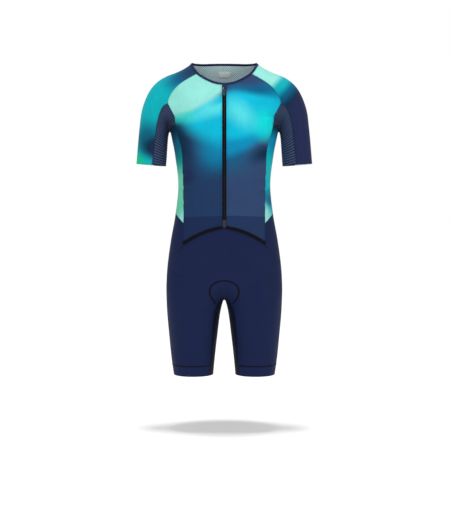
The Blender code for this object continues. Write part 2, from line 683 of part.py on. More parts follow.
def sleeve_grid(s):
    front = joined(s.raglan_front, s.sleeve_front[::2])
    top = joined(s.shoulder_top, s.arm_outer)
    back = joined(s.raglan_back, s.sleeve_back[::2])
    fore = patch(front, top, s.neck_fore, s.cuff_fore)
    aft = patch(top, back, s.neck_aft, s.cuff_aft)
    return beside(fore, aft)


def undersleeve_grids(s):
    """Two leaf-shaped halves that meet along the underarm. Their rows fan from the tips and go round the arm."""
    halves = []
    for seam, armhole, armpit, hem in (
        (s.sleeve_front, s.armhole_front, s.armpit_front, s.cuff_inner_front[::-1]),
        (s.sleeve_back, s.armhole_back, s.armpit_back[::-1], s.cuff_inner_back),
    ):
        inner = joined(divided(joined(armhole, armpit), ARMHOLE_SPLIT), s.underarm)
        tip = np.repeat(seam[:1], len(hem), axis=0)
        halves.append(evened(patch(seam, inner, tip, hem), EVENING_ROUNDS))
    return halves


def rib_heights(grid):
    """Every second row stands up, but for the ends and the seams."""
    heights = np.zeros(grid.shape[:2])
    heights[RIB_START:-1:2, 1:-1] = RIB_HEIGHT
    heights[UNDERARM_START:-1:2, -1] = RIB_HEIGHT
    return heights


def shorts_front_grid(s):
    """The left half of the shorts' front. Its top rows lie one cloth deep, under the jacket's front."""
    inner = land([(0.0, -0.0985, z) for z in np.linspace(TUCK_TOP, s.arch[0][2], TUCK_CELLS + 1)])
    outer = land(np.linspace(TUCK_CORNER, s.arch[-1], TUCK_CELLS + 1))
    outer[-1] = s.arch[-1]
    rim = s.arch.copy()
    rim[0] = inner[-1]
    top = land(np.linspace(inner[0], outer[0], len(rim)) + np.array((0.0, -0.02, 0.0)))
    tuck = patch(inner, outer, top, rim)
    tuck -= outward(tuck.reshape(-1, 3)).reshape(tuck.shape) * TUCK_DEPTH
    step = land(np.linspace(s.centre_front[0], s.hip[1], len(rim)))
    step = land(rim + (step - rim) * np.array((1.0, 0.0, 1.0)))
    step[0], step[-1] = s.centre_front[0], s.hip[1]
    edge = patch(np.stack([rim[0], step[0]]), np.stack([rim[-1], step[-1]]), rim, step)
    inside = joined(s.centre_front, s.front_inseam)
    main = patch(inside, s.hip[1:], step, s.band_top_front)
    return below(tuck, edge, main)


def shorts_back_grid(s):
    outer = joined(s.hip_front, s.hip)
    inner = joined(s.centre_back, s.back_inseam)
    side = patch(outer, s.seat_line, joined(s.side_hem_front, s.side_hem_back), s.band_top_side)
    seat = patch(s.seat_line, inner, s.back_waist, s.band_top_back)
    return beside(side, seat)


def inner_leg_grid(s):
    front = joined(s.front_inseam, s.front_inseam_band)
    back = joined(s.back_inseam, s.back_inseam_band)
    return patch(front, back, s.crotch, s.hem_inner)


def leg_band_grid(s):
    top = joined(s.band_top_front, s.band_top_side, s.band_top_back)
    hem = joined(s.hem_front, s.hem_side, s.hem_back)
    return patch(s.front_inseam_band, s.back_inseam_band, top, hem)


def neckband_grid(s):
    """The left half of the band, from the zip to the middle of the back."""
    seam = joined(s.neck_front, s.neck_fore, s.neck_aft, s.neck_back)
    middle = moved_along(seam, BAND_WIDTH / 2, (0.0, 0.0, 1.0))
    top = moved_along(seam, BAND_WIDTH, (0.0, 0.0, 1.0))
    for row in (middle, top):
        row[0, 0], row[-1, 0] = ZIP_HALF, 0.0
    return np.stack([top, middle, seam])


def strip(inner, outer, heights):
    """A narrow grid down the front, between two distances from the middle."""
    columns = [at_height(half, -0.1, heights) for half in (inner, (inner + outer) / 2, outer)]
    return np.stack(columns, axis=1)


def hem_tape_grid(s):
    top = moved_along(s.arch, HEM_TAPE_WIDTH, (0.0, 0.0, 1.0))
    top[0, 0] = ZIP_HALF
    return np.stack([top, s.arch])


def pad_grid():
    rows = []
    for row in PAD:
        across = np.linspace(-row.half_width, row.half_width, PAD_COLUMNS + 1)
        rows.append(land([(x, row.y, row.z) for x in across]))
    return np.stack(rows)


def label_grid():
    across = np.linspace(-LABEL_WIDTH / 2, LABEL_WIDTH / 2, LABEL_COLUMNS + 1)
    down = np.linspace(LABEL_TOP, LABEL_TOP - LABEL_HEIGHT, LABEL_ROWS + 1)
    return np.stack([land([(x, LABEL_BACK, z) for x in across]) for z in down])


def build_fabric(collection, s):
    pair("front", [front_grid(s)], "print_cyan", collection)
    back = back_grid(s)
    wall("back", [back, mirrored(back)], "print_teal", collection)
    pair("side", [side_grid(s)], "print_mint", collection)
    pair("sleeve", [sleeve_grid(s)], "print_teal", collection)
    under = undersleeve_grids(s)
    folded = {"heights": [rib_heights(grid) for grid in under], "half_seam": FOLD_HALF_SEAM}
    pair("undersleeve", under, "ribbed_navy", collection, **folded)
    shorts = shorts_front_grid(s)
    wall("shorts_front", [shorts, mirrored(shorts)], "navy_lycra", collection)
    pair("shorts_back", [shorts_back_grid(s)], "navy_lycra", collection)
    pair("inner_leg", [inner_leg_grid(s)], "navy_lycra", collection, half_seam=FOLD_HALF_SEAM)
    pair("leg_band", [leg_band_grid(s)], "navy_lycra", collection)


def build_trim(collection, s):
    band = neckband_grid(s)
    wall("neckband", [band, mirrored(band)], "black_trim", collection, lift=BAND_PROUD, thick=BAND_THICK)
    tape = {"lift": CLEAR + HEM_TAPE_THICK, "thick": HEM_TAPE_THICK}
    pair("hem_tape", [hem_tape_grid(s)], "black_trim", collection, **tape)
    wall("pad", [pad_grid()], "pad_foam", collection, lift=-PAD_DEPTH, thick=PAD_THICK)
    wall("neck_label", [label_grid()], "label_grey", collection, lift=-LABEL_DEPTH, thick=LABEL_THICK)


def build_zip(collection, s):
    top = neckband_grid(s)[0][0][2]
    rail = np.append(top, front_grid(s)[:, 0, 2])
    tape = strip(CHAIN_HALF + CLEAR, ZIP_HALF, rail)
    pair("zip_tape", [tape], "black_trim", collection)
    chain = np.linspace(SLIDER_AT - 0.6 * SLIDER_LENGTH, BOX_TOP, CHAIN_ROWS + 1)
    chain_grid = strip(-CHAIN_HALF, CHAIN_HALF, chain)
    wall("zip_chain", [chain_grid], "zip_plastic", collection, lift=CHAIN_PROUD, thick=CHAIN_THICK)
    box = strip(-BOX_HALF, BOX_HALF, np.linspace(BOX_TOP - CLEAR, BOX_END, BOX_ROWS + 1))
    wall("zip_box", [box], "zip_plastic", collection, lift=BOX_PROUD, thick=BOX_THICK)
    garage = strip(-GARAGE_HALF, GARAGE_HALF, np.linspace(top, GARAGE_END, GARAGE_ROWS + 1))
    wall("zip_garage", [garage], "navy_lycra", collection, lift=GARAGE_PROUD, thick=CLOTH)


def slider_frame():
    """The slider's own axes: X across, Y down along the cloth and Z out of it."""
    at = land([(0.0, -0.1, SLIDER_AT)])[0]
    out = outward(at[None])[0]
    across = np.array((-1.0, 0.0, 0.0))
    frame = np.eye(4)
    frame[:3] = np.column_stack([across, np.cross(out, across), out, at])
    return Matrix(frame.tolist())


def block(name, size, centre, paint, collection, bevel=0.0):
    """A rounded block in the slider's own axes."""
    bpy.ops.mesh.primitive_cube_add(size=1.0, location=(0.0, 0.0, 0.0))
    obj = bpy.context.object
    obj.name = obj.data.name = name
    for old in obj.users_collection:
        old.objects.unlink(obj)
    collection.objects.link(obj)
    obj.data.transform(Matrix.Translation(centre) @ Matrix.Diagonal((*size, 1.0)))
    obj.data.materials.append(cloth_material(paint))
    if bevel:
        rounding = obj.modifiers.new("rounding", "BEVEL")
        rounding.width, rounding.segments, rounding.limit_method = bevel, 2, "ANGLE"
    return obj


def build_slider(collection, cutters):
    """The slider with its bail, and the pull whose top bar turns in the bail."""
    frame = slider_frame()
    face = CLEAR + SLIDER_THICK
    body_size = (SLIDER_WIDTH, SLIDER_LENGTH, SLIDER_THICK)
    slider = block("zip_slider", body_size, (0, 0, CLEAR + SLIDER_THICK / 2), "zip_plastic", collection, 0.0008)
    bar_height = face + BAIL_GAP + BAIL_WIRE / 2
    bar = block("bail_bar", (BAIL_WIDTH, BAIL_LENGTH, BAIL_WIRE), (0, 0, bar_height), "zip_plastic", cutters)
    pieces = [bar]
    leg_height = BAIL_GAP + BAIL_WIRE + SLIDER_THICK / 2
    for end in (-1, 1):
        centre = (0, end * (BAIL_LENGTH - BAIL_WIRE) / 2, face + BAIL_GAP + BAIL_WIRE - leg_height / 2)
        pieces.append(block("bail_leg", (BAIL_WIDTH, BAIL_WIRE, leg_height), centre, "zip_plastic", cutters))
    for piece in pieces:
        union = slider.modifiers.new("bail", "BOOLEAN")
        union.operation, union.solver, union.object = "UNION", "EXACT", piece
    for piece in [slider] + pieces:
        piece.matrix_world = frame
    for piece in pieces:
        piece.hide_render, piece.display_type = True, "WIRE"
    build_pull(collection, cutters, frame @ Matrix.Translation((0, 0, face + BAIL_GAP / 2)))


def build_pull(collection, cutters, axis):
    """A flat tab with a window for the bail. Its origin lies on its top bar, which it turns about."""
    size = (PULL_WIDTH, PULL_LENGTH + PULL_BAR, PULL_THICK)
    centre = (0, (PULL_LENGTH - PULL_BAR) / 2, 0)
    pull = block("zip_pull", size, centre, "zip_plastic", collection)
    hole_size = (PULL_WINDOW_WIDTH, PULL_WINDOW_END - PULL_BAR, 3 * PULL_THICK)
    hole = block("pull_window", hole_size, (0, (PULL_WINDOW_END + PULL_BAR) / 2, 0), "zip_plastic", cutters)
    cut = pull.modifiers.new("window", "BOOLEAN")
    cut.operation, cut.solver, cut.object = "DIFFERENCE", "EXACT", hole
    hole.hide_render, hole.display_type = True, "WIRE"
    pull.matrix_world = hole.matrix_world = axis


def main():
    for obj in list(bpy.data.objects):
        bpy.data.objects.remove(obj)
    collection = bpy.data.collections.new("triathlon_suit")
    cutters = bpy.data.collections.new("cutters")
    for made in (collection, cutters):
        bpy.context.scene.collection.children.link(made)
    seams = Seams()
    build_fabric(collection, seams)
    build_trim(collection, seams)
    build_zip(collection, seams)
    build_slider(collection, cutters)


main()
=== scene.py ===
"""Looks of a short-sleeved triathlon suit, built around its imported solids.

Metres, +Z up. The front faces -Y and the wearer's left side is at +X.
"""

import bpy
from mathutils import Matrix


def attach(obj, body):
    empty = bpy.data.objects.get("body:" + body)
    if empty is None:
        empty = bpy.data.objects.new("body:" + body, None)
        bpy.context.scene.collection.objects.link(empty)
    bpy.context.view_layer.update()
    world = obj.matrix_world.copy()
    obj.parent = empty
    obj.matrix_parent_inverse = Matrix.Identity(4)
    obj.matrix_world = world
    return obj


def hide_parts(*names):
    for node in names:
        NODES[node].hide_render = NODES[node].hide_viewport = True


bl_info = {
    "name": "Triathlon Suit",
    "version": (1, 0, 0),
    "blender": (4, 5, 0),
    "location": "3D View > Sidebar > Suit",
    "description": "Dresses the suit's solids in printed lycra, stitched seams and a coil zip",
    "category": "Object",
}

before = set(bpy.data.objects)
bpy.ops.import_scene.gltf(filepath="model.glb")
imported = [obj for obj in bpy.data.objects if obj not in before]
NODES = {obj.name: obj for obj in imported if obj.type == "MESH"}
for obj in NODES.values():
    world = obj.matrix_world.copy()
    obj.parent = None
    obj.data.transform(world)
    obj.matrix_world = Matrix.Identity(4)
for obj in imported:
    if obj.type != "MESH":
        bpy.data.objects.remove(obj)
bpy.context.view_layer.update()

import math
from collections import namedtuple

import bmesh
import bpy
import numpy as np
from bpy.props import FloatProperty, FloatVectorProperty, IntProperty, PointerProperty
from mathutils import Matrix, Vector
from mathutils.kdtree import KDTree

SIDES = {"left": 1.0, "right": -1.0}

# The form that the cloth is stretched over: half-width, depth each way, and how square the oval is
TrunkRow = namedtuple("TrunkRow", "z half_width front back squareness")
TRUNK = [
    TrunkRow(0.060, 0.080, 0.050, 0.050, 2.0),
    TrunkRow(0.010, 0.088, 0.058, 0.062, 2.0),
    TrunkRow(-0.006, 0.098, 0.062, 0.070, 2.0),
    TrunkRow(-0.040, 0.120, 0.070, 0.088, 2.1),
    TrunkRow(-0.075, 0.138, 0.084, 0.100, 2.2),
    TrunkRow(-0.130, 0.156, 0.110, 0.111, 2.3),
    TrunkRow(-0.200, 0.168, 0.120, 0.110, 2.35),
    TrunkRow(-0.284, 0.155, 0.110, 0.097, 2.35),
    TrunkRow(-0.380, 0.1445, 0.099, 0.089, 2.3),
    TrunkRow(-0.470, 0.153, 0.098, 0.098, 2.3),
    TrunkRow(-0.560, 0.169, 0.100, 0.117, 2.3),
    TrunkRow(-0.640, 0.1795, 0.099, 0.128, 2.25),
    TrunkRow(-0.700, 0.183, 0.094, 0.122, 2.2),
    TrunkRow(-0.780, 0.182, 0.088, 0.100, 2.2),
]
LegRow = namedtuple("LegRow", "z inner outer front back")
LEG = [
    LegRow(-0.640, -0.010, 0.179, 0.096, 0.118),
    LegRow(-0.700, -0.004, 0.183, 0.092, 0.108),
    LegRow(-0.740, 0.004, 0.1825, 0.089, 0.100),
    LegRow(-0.775, 0.0117, 0.181, 0.086, 0.094),
    LegRow(-0.850, 0.0216, 0.1748, 0.079, 0.083),
    LegRow(-0.926, 0.0302, 0.1674, 0.071, 0.071),
    LegRow(-1.000, 0.037, 0.157, 0.063, 0.061),
]
LEG_SQUARENESS = 2.1
FORK_LOW, FORK_HIGH, FORK_ROUNDING = -0.748, -0.655, 0.004
ArmRow = namedtuple("ArmRow", "x y z across deep")
ARM = [
    ArmRow(0.010, 0.010, -0.036, 0.030, 0.040),
    ArmRow(0.070, 0.008, -0.052, 0.040, 0.050),
    ArmRow(0.130, 0.006, -0.074, 0.048, 0.058),
    ArmRow(0.178, 0.004, -0.104, 0.054, 0.062),
    ArmRow(0.208, 0.002, -0.150, 0.049, 0.058),
    ArmRow(0.220, 0.000, -0.208, 0.0460, 0.052),
    ArmRow(0.228, -0.003, -0.302, 0.0465, 0.049),
    ArmRow(0.236, -0.006, -0.400, 0.0465, 0.048),
]
ARM_STEPS, ARM_LOWEST = 48, -0.46
ARMPIT_BLEND, FOLD_BLEND, SHOULDER_BLEND = 0.014, 0.056, 0.042
ARMPIT_HEIGHT, FOLD_HEIGHT, SHOULDER_HEIGHT = -0.197, -0.152, -0.105
SLOPE_STEP, CHUNK = 0.0004, 6000

# Cloth
WELD, OUTER_FACING = 1e-5, 0.4
CORNER_REACH, SEAM_OVERLAP = 0.0016, 0.00002
SEAM_HALF_GAP, DARK_SEAM_HALF_GAP, TAPE_HALF_GAP = 0.00015, 0.00055, 0.0008
INNER_SLOT, EDGE_SLOT = 1, 0

# Creases, placed on the wearer's left half. Where both is 1, a like one lies on the right
Crease = namedtuple("Crease", "x1 y1 z1 x2 y2 z2 x3 y3 z3 width depth both")
CREASES = [
    Crease(0.149, -0.070, -0.205, 0.120, -0.100, -0.222, 0.080, -0.115, -0.232, 0.0080, 0.0016, 1),
    Crease(0.158, -0.055, -0.165, 0.140, -0.082, -0.172, 0.110, -0.104, -0.170, 0.0065, 0.0012, 1),
    Crease(0.139, -0.060, -0.262, 0.112, -0.092, -0.285, 0.090, -0.104, -0.318, 0.0090, 0.0009, 1),
    Crease(0.141, -0.030, -0.352, 0.120, -0.070, -0.362, 0.070, -0.096, -0.358, 0.0075, 0.0012, 1),
    Crease(0.143, -0.025, -0.391, 0.122, -0.068, -0.398, 0.085, -0.092, -0.408, 0.0070, 0.0015, 1),
    Crease(0.146, -0.020, -0.425, 0.128, -0.064, -0.441, 0.100, -0.086, -0.456, 0.0080, 0.0010, 1),
    Crease(0.172, -0.030, -0.640, 0.120, -0.080, -0.672, 0.060, -0.096, -0.694, 0.0090, 0.0014, 1),
    Crease(0.020, -0.070, -0.736, 0.075, -0.092, -0.728, 0.140, -0.066, -0.700, 0.0080, 0.0018, 1),
    Crease(0.026, -0.062, -0.762, 0.070, -0.088, -0.768, 0.118, -0.082, -0.758, 0.0070, 0.0014, 1),
    Crease(0.160, -0.040, -0.790, 0.120, -0.076, -0.812, 0.080, -0.084, -0.846, 0.0090, 0.0008, 1),
    Crease(0.048, -0.050, -0.925, 0.090, -0.073, -0.931, 0.140, -0.056, -0.928, 0.0060, 0.0008, 1),
    Crease(0.236, -0.045, -0.168, 0.220, -0.054, -0.190, 0.212, -0.050, -0.220, 0.0070, 0.0013, 1),
    Crease(0.262, -0.020, -0.200, 0.240, -0.044, -0.222, 0.218, -0.050, -0.252, 0.0075, 0.0011, 1),
    Crease(0.266, 0.020, -0.210, 0.240, 0.044, -0.228, 0.216, 0.046, -0.250, 0.0075, 0.0012, 1),
    Crease(0.215, -0.030, -0.085, 0.205, -0.050, -0.110, 0.190, -0.056, -0.135, 0.0080, 0.0010, 1),
    Crease(0.150, 0.070, -0.206, 0.118, 0.096, -0.226, 0.075, 0.106, -0.238, 0.0085, 0.0018, 1),
    Crease(0.158, 0.060, -0.168, 0.132, 0.088, -0.176, 0.100, 0.104, -0.174, 0.0070, 0.0013, 1),
    Crease(-0.070, 0.085, -0.402, 0.000, 0.094, -0.410, 0.085, 0.082, -0.400, 0.0085, 0.0020, 0),
    Crease(-0.040, 0.094, -0.428, 0.030, 0.096, -0.436, 0.110, 0.074, -0.424, 0.0075, 0.0016, 0),
    Crease(-0.112, 0.070, -0.371, -0.050, 0.090, -0.379, 0.010, 0.092, -0.376, 0.0080, 0.0013, 0),
    Crease(0.135, 0.055, -0.486, 0.080, 0.094, -0.500, 0.030, 0.104, -0.496, 0.0080, 0.0011, 1),
    Crease(0.010, 0.080, -0.724, 0.060, 0.108, -0.742, 0.130, 0.086, -0.738, 0.0085, 0.0022, 1),
    Crease(0.024, 0.066, -0.762, 0.070, 0.094, -0.772, 0.116, 0.084, -0.764, 0.0075, 0.0016, 1),
    Crease(0.050, 0.062, -0.884, 0.095, 0.078, -0.892, 0.140, 0.058, -0.886, 0.0080, 0.0013, 1),
    Crease(0.056, 0.058, -0.915, 0.100, 0.070, -0.920, 0.135, 0.056, -0.914, 0.0070, 0.0010, 1),
]
CREASE_STEPS, OTHER_SIDE_SHIFT, OTHER_SIDE_SHARE = 14, (0.0, 0.0, 0.005), 0.85

# How much cloth each panel is cut from: width and length of the piece, and its flat area
Cut = namedtuple("Cut", "width length area")

# Soft fields of the print, with painted shade under the arms on the side panels. Each is an oval in the
# plane of the front, seen from the front
Field = namedtuple("Field", "colour x z wide high turn edge")
PRINTS = {
    "front_right": ("slate", [
        Field("slate_low", 0.000, -0.600, 0.500, 0.1235, 0, 0.985),
        Field("mid_blue", -0.004, -0.290, 0.120, 0.078, 32, 0.05),
        Field("blue", -0.016, -0.250, 0.105, 0.105, 24, 0.00),
        Field("deep", -0.148, -0.262, 0.066, 0.110, 12, 0.15),
        Field("cyan", -0.024, -0.178, 0.160, 0.098, -14, 0.40),
        Field("deep", -0.156, -0.230, 0.050, 0.060, 10, 0.10),
        Field("slate_low", -0.126, -0.354, 0.052, 0.046, 0, 0.20),
        Field("teal", -0.132, -0.158, 0.075, 0.046, -18, 0.20),
        Field("pale_cyan", -0.030, -0.148, 0.115, 0.038, 20, 0.10),
        Field("teal", -0.154, -0.158, 0.044, 0.044, 0, 0.20),
        Field("cyan", -0.006, -0.122, 0.052, 0.018, 28, 0.00),
        Field("mint", -0.096, -0.078, 0.170, 0.080, 28, 0.72),
    ]),
    "front_left": ("slate_light", [
        Field("low_light", 0.000, -0.600, 0.500, 0.1250, 0, 0.985),
        Field("mid_blue", 0.012, -0.262, 0.115, 0.125, 18, 0.05),
        Field("deep", 0.125, -0.285, 0.075, 0.036, 26, 0.00),
        Field("blue", 0.028, -0.190, 0.205, 0.108, 27, 0.68),
        Field("cyan", 0.040, -0.170, 0.190, 0.086, 12, 0.62),
        Field("aqua", 0.128, -0.196, 0.062, 0.072, 6, 0.15),
        Field("pale_cyan", 0.048, -0.165, 0.054, 0.088, 48, 0.00),
        Field("mid_blue", 0.090, -0.084, 0.120, 0.034, -10, 0.15),
        Field("slate_light", 0.058, -0.056, 0.085, 0.034, -10, 0.20),
    ]),
    "back": ("slate", [
        Field("blue", 0.000, -0.255, 0.260, 0.130, 10, 0.15),
        Field("deep", -0.120, -0.300, 0.070, 0.150, -6, 0.05),
        Field("cyan", 0.030, -0.180, 0.260, 0.090, 16, 0.40),
        Field("pale_cyan", 0.050, -0.168, 0.130, 0.045, 24, 0.10),
        Field("mint", -0.100, -0.075, 0.150, 0.080, 26, 0.65),
        Field("slate", 0.080, -0.040, 0.080, 0.040, 6, 0.20),
    ]),
    "side_right": ("mint_green", [
        Field("lagoon", -0.150, -0.300, 0.090, 0.070, 0, 0.10),
        Field("deep_sea", -0.150, -0.245, 0.095, 0.085, 0, 0.20),
        # Partly print, partly painted shade under the arm
        Field("deep", -0.165, -0.200, 0.090, 0.065, 0, 0.20),
        Field("mint", -0.128, -0.490, 0.026, 0.050, -10, 0.10),
    ]),
    "side_left": ("sea", [
        Field("mid_blue", 0.150, -0.425, 0.055, 0.052, 0, 0.00),
        Field("mint", 0.118, -0.480, 0.040, 0.062, 14, 0.35),
        Field("blue", 0.150, -0.245, 0.090, 0.060, 0, 0.10),
        # Partly print, partly painted shade under the arm
        Field("deep", 0.165, -0.190, 0.090, 0.060, 0, 0.20),
    ]),
    "sleeve_right": ("sea", [
        Field("deep_sea", -0.235, -0.240, 0.085, 0.082, 0, 0.15),
        Field("mid_blue", -0.130, -0.046, 0.088, 0.050, 30, 0.20),
        Field("slate", -0.090, -0.022, 0.080, 0.042, 32, 0.25),
        Field("deep", -0.218, -0.266, 0.052, 0.045, 0, 0.25),
        Field("green", -0.292, -0.332, 0.066, 0.072, -10, 0.35),
        Field("navy", -0.204, -0.275, 0.036, 0.055, 0, 0.25),
    ]),
    "sleeve_left": ("navy", [
        Field("deep", 0.082, 0.004, 0.260, 0.200, 48, 0.80),
        Field("mid_blue", 0.082, 0.004, 0.240, 0.180, 48, 0.82),
        Field("sea", 0.082, 0.004, 0.220, 0.152, 48, 0.82),
        Field("mint", 0.082, 0.004, 0.200, 0.117, 48, 0.80),
    ]),
}

# Finishes
LYCRA_ROUGHNESS, LYCRA_SHEEN, LYCRA_GLOSS, RIBBED_ROUGHNESS = 0.62, 0.02, 0.08, 0.66
# Painted shade on the lining: height and size of its band below the neck. Then how dark the lining's
# holes are
LINING_SHADE_HEIGHT, LINING_SHADE_SIZE, HOLE_SHADE = -0.115, (0.6, 1, 0.075), 0.45

# Ribs of the under-sleeves
RIB_MIDDLE, RIB_FLAT, RIB_STEEP, RIB_FADE = 0.19, 0.28, 0.80, 0.003
RIB_LEVEL_HEIGHT, RIB_STEEP_HEIGHT = -0.31, -0.20

# Stitches and corded lines
STITCH_LONG, STITCH_WIDE, STITCH_TALL = 0.0026, 0.0006, 0.0005
TOPSTITCH_INSET, BINDING_INSET, ZIP_ROW_INSET = 0.0017, 0.0009, 0.0055
ZIP_EDGE_REACH, SHORTEST_SEAM = 0.02, 0.02
PAD_LINE_STEPS = 120
PadRow = namedtuple("PadRow", "half_width y z")
PAD_LINE = [
    PadRow(0.0010, -0.0950, -0.6775),
    PadRow(0.0200, -0.0945, -0.6810),
    PadRow(0.0360, -0.0930, -0.6900),
    PadRow(0.0440, -0.0900, -0.7040),
    PadRow(0.0430, -0.0850, -0.7200),
    PadRow(0.0370, -0.0740, -0.7350),
    PadRow(0.0270, -0.0600, -0.7500),
]
BACK_PAD_LINE = [
    PadRow(0.0270, 0.0620, -0.7530),
    PadRow(0.0400, 0.0850, -0.7330),
    PadRow(0.0530, 0.1050, -0.7100),
    PadRow(0.0560, 0.1150, -0.6880),
    PadRow(0.0430, 0.1210, -0.6680),
    PadRow(0.0220, 0.1250, -0.6570),
    PadRow(0.0010, 0.1260, -0.6530),
]
LINE_WIDTH, LINE_CROWN = 0.0062, 0.0009
LEG_LINE_WIDTH, LEG_LINE_CROWN, LEG_LINE_STEPS = 0.0044, 0.0008, 90
SHORTEST_LEG_LINE = 0.05
BAND_LINE_HEIGHT = -0.955
RIBBON_PROFILE = [(-1.0, -0.1), (-0.7, 0.7), (0.0, 1.0), (0.7, 0.7), (1.0, -0.1)]
RIBBON_THICK = 0.0004

# Zip
SLIDER_HEIGHT, CHAIN_END = -0.0955, -0.488
TOOTH_LONG, TOOTH_WIDE, TOOTH_TALL, TOOTH_LEAN = 0.0023, 0.00085, 0.0011, 12.0
TOOTH_ASIDE, TOOTH_LIFT, CHAIN_TOP_GAP = 0.0009, 0.0004, 0.0062
BACKING_HALF, BACKING_SUNK, BACKING_THICK, BACKING_STEPS = 0.0034, 0.0005, 0.0006, 120
BACKING_TOP, BACKING_BELOW_CHAIN = -0.0790, 0.020
BOX_HEIGHTS, BOX_HALF = (-0.4883, -0.5110), 0.0054
GARAGE_HEIGHTS, GARAGE_HALF = (-0.0712, -0.0921), 0.0070
DOT_AT, DOT_RADIUS = (-0.0028, -0.0885), 0.0016
FLAP_THICK, FLAP_ROUNDING, FLAP_EDGE_DROP = 0.0009, 0.0002, 0.0006
BOX_LIFT, GARAGE_LIFT = 0.0022, 0.0024
DOT_LIFT, DOT_THICK, PULL_LIFT = 0.0027, 0.0005, 0.0040

# Padded seat
PAD_VOXEL, PAD_SWELL = 0.0017, 0.0016
PAD_CHANNEL_AT, PAD_CHANNEL_WIDE, PAD_CHANNEL_DEPTH = 0.021, 0.0022, 0.0022

# Camera and studio
LENS_MM, SENSOR_MM = 79.05, 36.0
CAMERA_AT, CAMERA_TILT = (0.0022, -3.5, -0.4126), 2.99
FLOOR_HEIGHT, FLOOR_SIZE = -1.153, 40.0
FLOOR_SHADES = (0.93, 0.93, 0.93, 1), (0.95, 0.95, 0.95, 1)
WORLD_LIGHT, SUN_LIGHT, SUN_ANGLE = 0.50, 1.9, 9.0
FLAG_HEIGHT, FLAG_SIZE = -0.60, (0.150, 0.075)
LIGHTS = [
    ("front_soft", (-2.2, -3.6, 1.6), (0.0, 0.0, -0.5), 60.0, 2.2),
    ("right_soft", (2.8, -2.4, 0.8), (0.0, 0.0, -0.5), 36.0, 1.8),
]

# Materials of the cloth panels. Each piece leaves its seam lines for the stitches
MATERIAL_NAMES = {
    "front_left": "Front print left",
    "front_right": "Front print right",
    "back": "Back print",
    "side_left": "Side print left",
    "side_right": "Side print right",
    "sleeve_left": "Sleeve print left",
    "sleeve_right": "Sleeve print right",
    "undersleeve": "Ribbed lycra",
    "shorts_front": "Shorts lycra",
    "shorts_back": "Shorts lycra",
    "inner_leg": "Inner-leg lycra",
    "leg_band": "Leg band",
    "neckband": "Neckband lycra",
    "hem_tape": "Black elastic",
    "zip_tape": "Black tape",
}
SEAM_SHEETS = {}


def between(keys, values, at):
    """Rows of a table read smoothly at other keys."""
    keys, values = np.asarray(keys, float), np.asarray(values, float)
    if keys[0] > keys[-1]:
        keys, values = keys[::-1], values[::-1]
    slopes = np.gradient(values, keys, axis=0)
    at = np.clip(at, keys[0], keys[-1])
    low = np.clip(np.searchsorted(keys, at) - 1, 0, len(keys) - 2)
    step = (keys[low + 1] - keys[low])[:, None]
    t = (at - keys[low])[:, None] / step
    start, end = values[low], values[low + 1]
    leave, arrive = slopes[low] * step, slopes[low + 1] * step
    return (
        (2 * t**3 - 3 * t**2 + 1) * start
        + (t**3 - 2 * t**2 + t) * leave
        + (3 * t**2 - 2 * t**3) * end
        + (t**3 - t**2) * arrive
    )


def ease(low, high, at):
    """A smooth share from 0 at low to 1 at high."""
    t = np.clip((at - low) / (high - low), 0.0, 1.0)
    return t * t * (3.0 - 2.0 * t)


def oval_gap(x, y, half_width, front, back, squareness):
    """Signed distance, roughly, from an oval whose front and back differ in depth."""
    deep = np.where(y < 0, front, back)
    ratio = (np.abs(x) / half_width) ** squareness + (np.abs(y) / deep) ** squareness
    radius = np.hypot(x, y)
    return radius - radius / np.maximum(ratio ** (1 / squareness), 1e-9)


ARM_SHARES = np.linspace(0, len(ARM) - 1, ARM_STEPS + 1)
ARM_LINE = between(np.arange(len(ARM), dtype=float), np.array(ARM), ARM_SHARES)


def arm_gap(points):
    """Signed distance, roughly, from the left sleeve, an oval swept along the arm's line."""
    start, run = ARM_LINE[:-1], np.diff(ARM_LINE, axis=0)
    offset = points[:, None, :] - start[None, :, :3]
    share = np.einsum("nsk,sk->ns", offset, run[:, :3]) / (run[:, :3] ** 2).sum(1)
    near = start[None] + np.clip(share, 0, 1)[..., None] * run[None]
    offset = points[:, None, :] - near[..., :3]
    rows, best = np.arange(len(points)), (offset**2).sum(2).argmin(1)
    offset, near, run = offset[rows, best], near[rows, best], run[best, :3]
    along = run / np.linalg.norm(run, axis=1)[:, None]
    across = np.cross((0.0, 1.0, 0.0), along)
    across /= np.linalg.norm(across, axis=1)[:, None]
    deep = np.cross(along, across)
    parts = [
        (offset * across).sum(1) / near[:, 3],
        (offset * deep).sum(1) / near[:, 4],
        (offset * along).sum(1) / near[:, 3],
    ]
    radius = np.linalg.norm(offset, axis=1)
    return radius - radius / np.maximum(np.linalg.norm(parts, axis=0), 1e-9)


def form(points):
    """The outer face of the cloth is where this is zero: it is negative inside the suit."""
    x, y, z = points.T
    trunk = oval_gap(x, y, *between([r.z for r in TRUNK], [r[1:] for r in TRUNK], z).T)
    inner, outer, front, back = between([r.z for r in LEG], [r[1:] for r in LEG], z).T
    aside = np.sqrt(x**2 + FORK_ROUNDING**2) - (inner + outer) / 2
    leg = oval_gap(aside, y, (outer - inner) / 2, front, back, LEG_SQUARENESS)
    share = ease(FORK_LOW, FORK_HIGH, z)
    body = share * trunk + (1 - share) * leg
    high = z > ARM_LOWEST
    if not high.any():
        return body
    arm = np.full(len(points), 1.0)
    arm[high] = arm_gap(np.column_stack([np.abs(x), y, z])[high])
    blend = ARMPIT_BLEND + (FOLD_BLEND - ARMPIT_BLEND) * ease(ARMPIT_HEIGHT, FOLD_HEIGHT, z)
    blend += (SHOULDER_BLEND - FOLD_BLEND) * ease(FOLD_HEIGHT, SHOULDER_HEIGHT, z)
    near = np.maximum(blend - np.abs(body - arm), 0) / blend
    return np.minimum(body, arm) - near**2 * blend / 4


